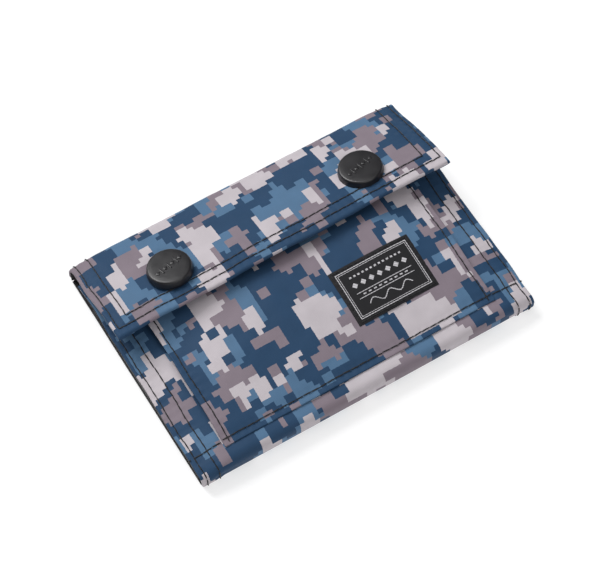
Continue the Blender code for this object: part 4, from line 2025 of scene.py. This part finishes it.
@dataclass
class Inside:
    """Everything under the outer cloth: linings, card pockets, window and flap layers."""

    sizes: WalletSizes
    route: OuterPath
    window: Window = (-42 * MM, -27 * MM, 42 * MM, 23 * MM)
    layer_start: float = 0.5 * MM
    seam_inset: float = 1 * MM
    layer_grid: float = 1.2 * MM

    def flap_layer(self, name: str, node: str, depth: float, cloth: float, inset: float,
                   finish: Finish, slot: str) -> None:
        """Build a layer under the flap's face.

        Args:
            name: the piece's name.
            node: the frame node that it stands for.
            depth: how far its upper face lies under the flap's.
            cloth: its thickness.
            inset: how far its edges stay inside the flap's.
            finish: its finish.
            slot: its material slot.
        """
        path = self.route.flap_depth(depth)
        half = self.sizes.half_width - inset
        first, last = self.layer_start, path.length - inset
        flap = OuterCloth(self.sizes, self.route)
        shift = self.route.flap_start

        def relief(x: Array, s: Array) -> Array:
            """Return the flap's own relief above the layer."""
            return flap.flap_relief(x, s + shift)

        def pinch(x: Array, s: Array) -> Array:
            """Return the flap's own pinch above the layer."""
            return flap.flap_pinch(x, s + shift)

        side, end = half - self.seam_inset, last - self.seam_inset
        row = Row(((-side, first), (-side, end), (side, end), (side, first)), depth=0.1 * MM)
        sheet = Sheet(name, path, (first, last), half, cloth=cloth, turn_sides=False, rows=(row,),
                      relief=relief, pinch=pinch, wave=0.0, grid=self.layer_grid)
        piece = sheet.build()
        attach(piece, "flap")
        finish_sheet(piece, finish, slot, (node,))

    def fold_lining(self, node: str, body: str) -> None:
        """Build the lining strip on the inner side of a fold.

        Args:
            node: the frame node that it stands for.
            body: the fold's body.
        """
        low, high = corner_low(node), corner_high(node)
        length = high.z - low.z
        if high.y < 0:
            path = StripPath((high.y, low.z), math.pi / 2)
        else:
            path = StripPath((low.y, high.z), -math.pi / 2)
        path.run(length)
        sheet = Sheet(node + "_cloth", path, (0.0, length), high.x, cloth=(high.y - low.y) * 0.9,
                      turn_sides=False, wave=0.05 * MM, pinch=pressed_sides, grid=self.layer_grid)
        piece = sheet.build()
        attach(piece, body)
        finish_sheet(piece, Finish.LINING, "black_lining", (node,))

    def build(self) -> None:
        """Build every inner piece."""
        back, front = 3.0, 11.0
        InnerSheet("back_lining", "back", Facing.UP, open_top=False, seed=back).build()
        for node in ("back_inner_panel", "card_pocket_1", "card_pocket_2", "card_pocket_3"):
            InnerSheet(node, "back", Facing.UP, seed=back).build()
        InnerSheet("front_lining", "front", Facing.DOWN, open_top=False, seed=front).build()
        InnerSheet("front_inner_panel", "front", Facing.DOWN, seed=front).build()
        InnerSheet("id_window_film", "front", Facing.DOWN, Finish.FILM, "clear_film", open_top=False,
                   seed=front).build()
        InnerSheet("id_window_frame", "front", Facing.DOWN, window=self.window, seed=front).build()
        self.fold_lining("bottom_fold_lining", "bottom_fold")
        self.fold_lining("top_fold_lining", "top_fold")
        self.flap_layer("flap_stiffener", "flap_interlining", 1.0 * MM, 0.3 * MM, 2.4 * MM,
                        Finish.INTERLINING, "interlining")
        self.flap_layer("flap_lining_cloth", "flap_lining", 1.65 * MM, 0.35 * MM, 6.2 * MM,
                        Finish.LINING, "black_lining")


# --------------------------------------------------------------------------------- studio


@dataclass(frozen=True)
class SoftBox:
    """A square light that looks at the wallet.

    Attributes:
        name: the light's name.
        azimuth: the side that it stands on, in degrees.
        elevation: how high it stands, in degrees.
        size: the length of its sides.
        power: its power in watts.
    """

    name: str
    azimuth: float
    elevation: float
    size: float
    power: float


@dataclass
class Studio:
    """A pale floor, soft light and the camera."""

    azimuth: float = -31.1
    elevation: float = 62.0
    distance: float = 0.756
    lens: float = 142.8
    sensor: float = 36.0
    aim_right: float = 0.5 * MM
    aim_down: float = 3.6 * MM
    aim_height: float = 8 * MM
    light_distance: float = 3.0
    lights: tuple[SoftBox, ...] = (SoftBox("key", -162.0, 45.0, 1.5, 77.0),
                                   SoftBox("overhead", 160.0, 82.0, 2.6, 27.0),
                                   SoftBox("fill", 5.0, 42.0, 2.4, 34.0))
    surroundings: Tint = (0.98, 0.99, 1.0, 1.0)
    surroundings_strength: float = 0.13
    floor_size: float = 2.5
    floor_drop: float = 0.28 * MM

    def direction(self, azimuth: float, elevation: float) -> Vector:
        """Return the direction from the object towards a viewer or a light."""
        a, e = math.radians(azimuth), math.radians(elevation)
        return Vector((math.sin(a) * math.cos(e), -math.cos(a) * math.cos(e), math.sin(e)))

    def add_camera(self) -> None:
        """Add the camera, aimed a little below the wallet's middle."""
        back = self.direction(self.azimuth, self.elevation)
        turn = back.to_track_quat("Z", "Y")
        right, up = turn @ Vector((1, 0, 0)), turn @ Vector((0, 1, 0))
        aim = Vector((0, 0, self.aim_height)) + right * self.aim_right - up * self.aim_down
        data = bpy.data.cameras.new("camera")
        data.lens = self.lens
        data.sensor_width = self.sensor
        data.clip_start, data.clip_end = 0.01, 10.0
        camera = bpy.data.objects.new("camera", data)
        camera.location = aim + back * self.distance
        camera.rotation_mode = "QUATERNION"
        camera.rotation_quaternion = turn
        bpy.context.scene.collection.objects.link(camera)
        bpy.context.scene.camera = camera

    def add_light(self, box: SoftBox) -> None:
        """Add one soft box.

        Args:
            box: where it stands, and how large and strong it is.
        """
        data = bpy.data.lights.new(box.name, "AREA")
        data.size, data.energy = box.size, box.power
        light = bpy.data.objects.new(box.name, data)
        towards = self.direction(box.azimuth, box.elevation)
        light.location = towards * self.light_distance
        light.rotation_mode = "QUATERNION"
        light.rotation_quaternion = towards.to_track_quat("Z", "Y")
        bpy.context.scene.collection.objects.link(light)

    def add_world(self) -> None:
        """Fill the surroundings with even white light."""
        world = bpy.data.worlds.new("studio")
        world.use_nodes = True
        back = world.node_tree.nodes["Background"]
        back.inputs[0].default_value = self.surroundings
        back.inputs[1].default_value = self.surroundings_strength
        bpy.context.scene.world = world

    def add_floor(self) -> None:
        """Lay the floor just under the wallet."""
        working = bmesh.new()
        bmesh.ops.create_grid(working, x_segments=1, y_segments=1, size=self.floor_size)
        bmesh.ops.translate(working, verts=working.verts, vec=(0, 0, -self.floor_drop))
        floor = new_piece("studio_floor", working)
        Finish.FLOOR.dress(floor)

    def build(self) -> None:
        """Build the studio."""
        self.add_camera()
        self.add_world()
        self.add_floor()
        for box in self.lights:
            self.add_light(box)
        view = bpy.context.scene.view_settings
        view.view_transform = "Standard"
        view.look = "None"


def main() -> None:
    """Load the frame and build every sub-assembly."""
    logging.basicConfig(level=logging.INFO, format="%(name)s %(message)s")
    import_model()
    sizes = WalletSizes()
    route = OuterPath(sizes)
    Studio().build()
    OuterCloth(sizes, route).build()
    face = RaisedPocket(sizes).build()
    WovenLabel(face).build()
    Snaps(sizes, route).build()
    Inside(sizes, route).build()


if __name__ == "__main__":
    main()
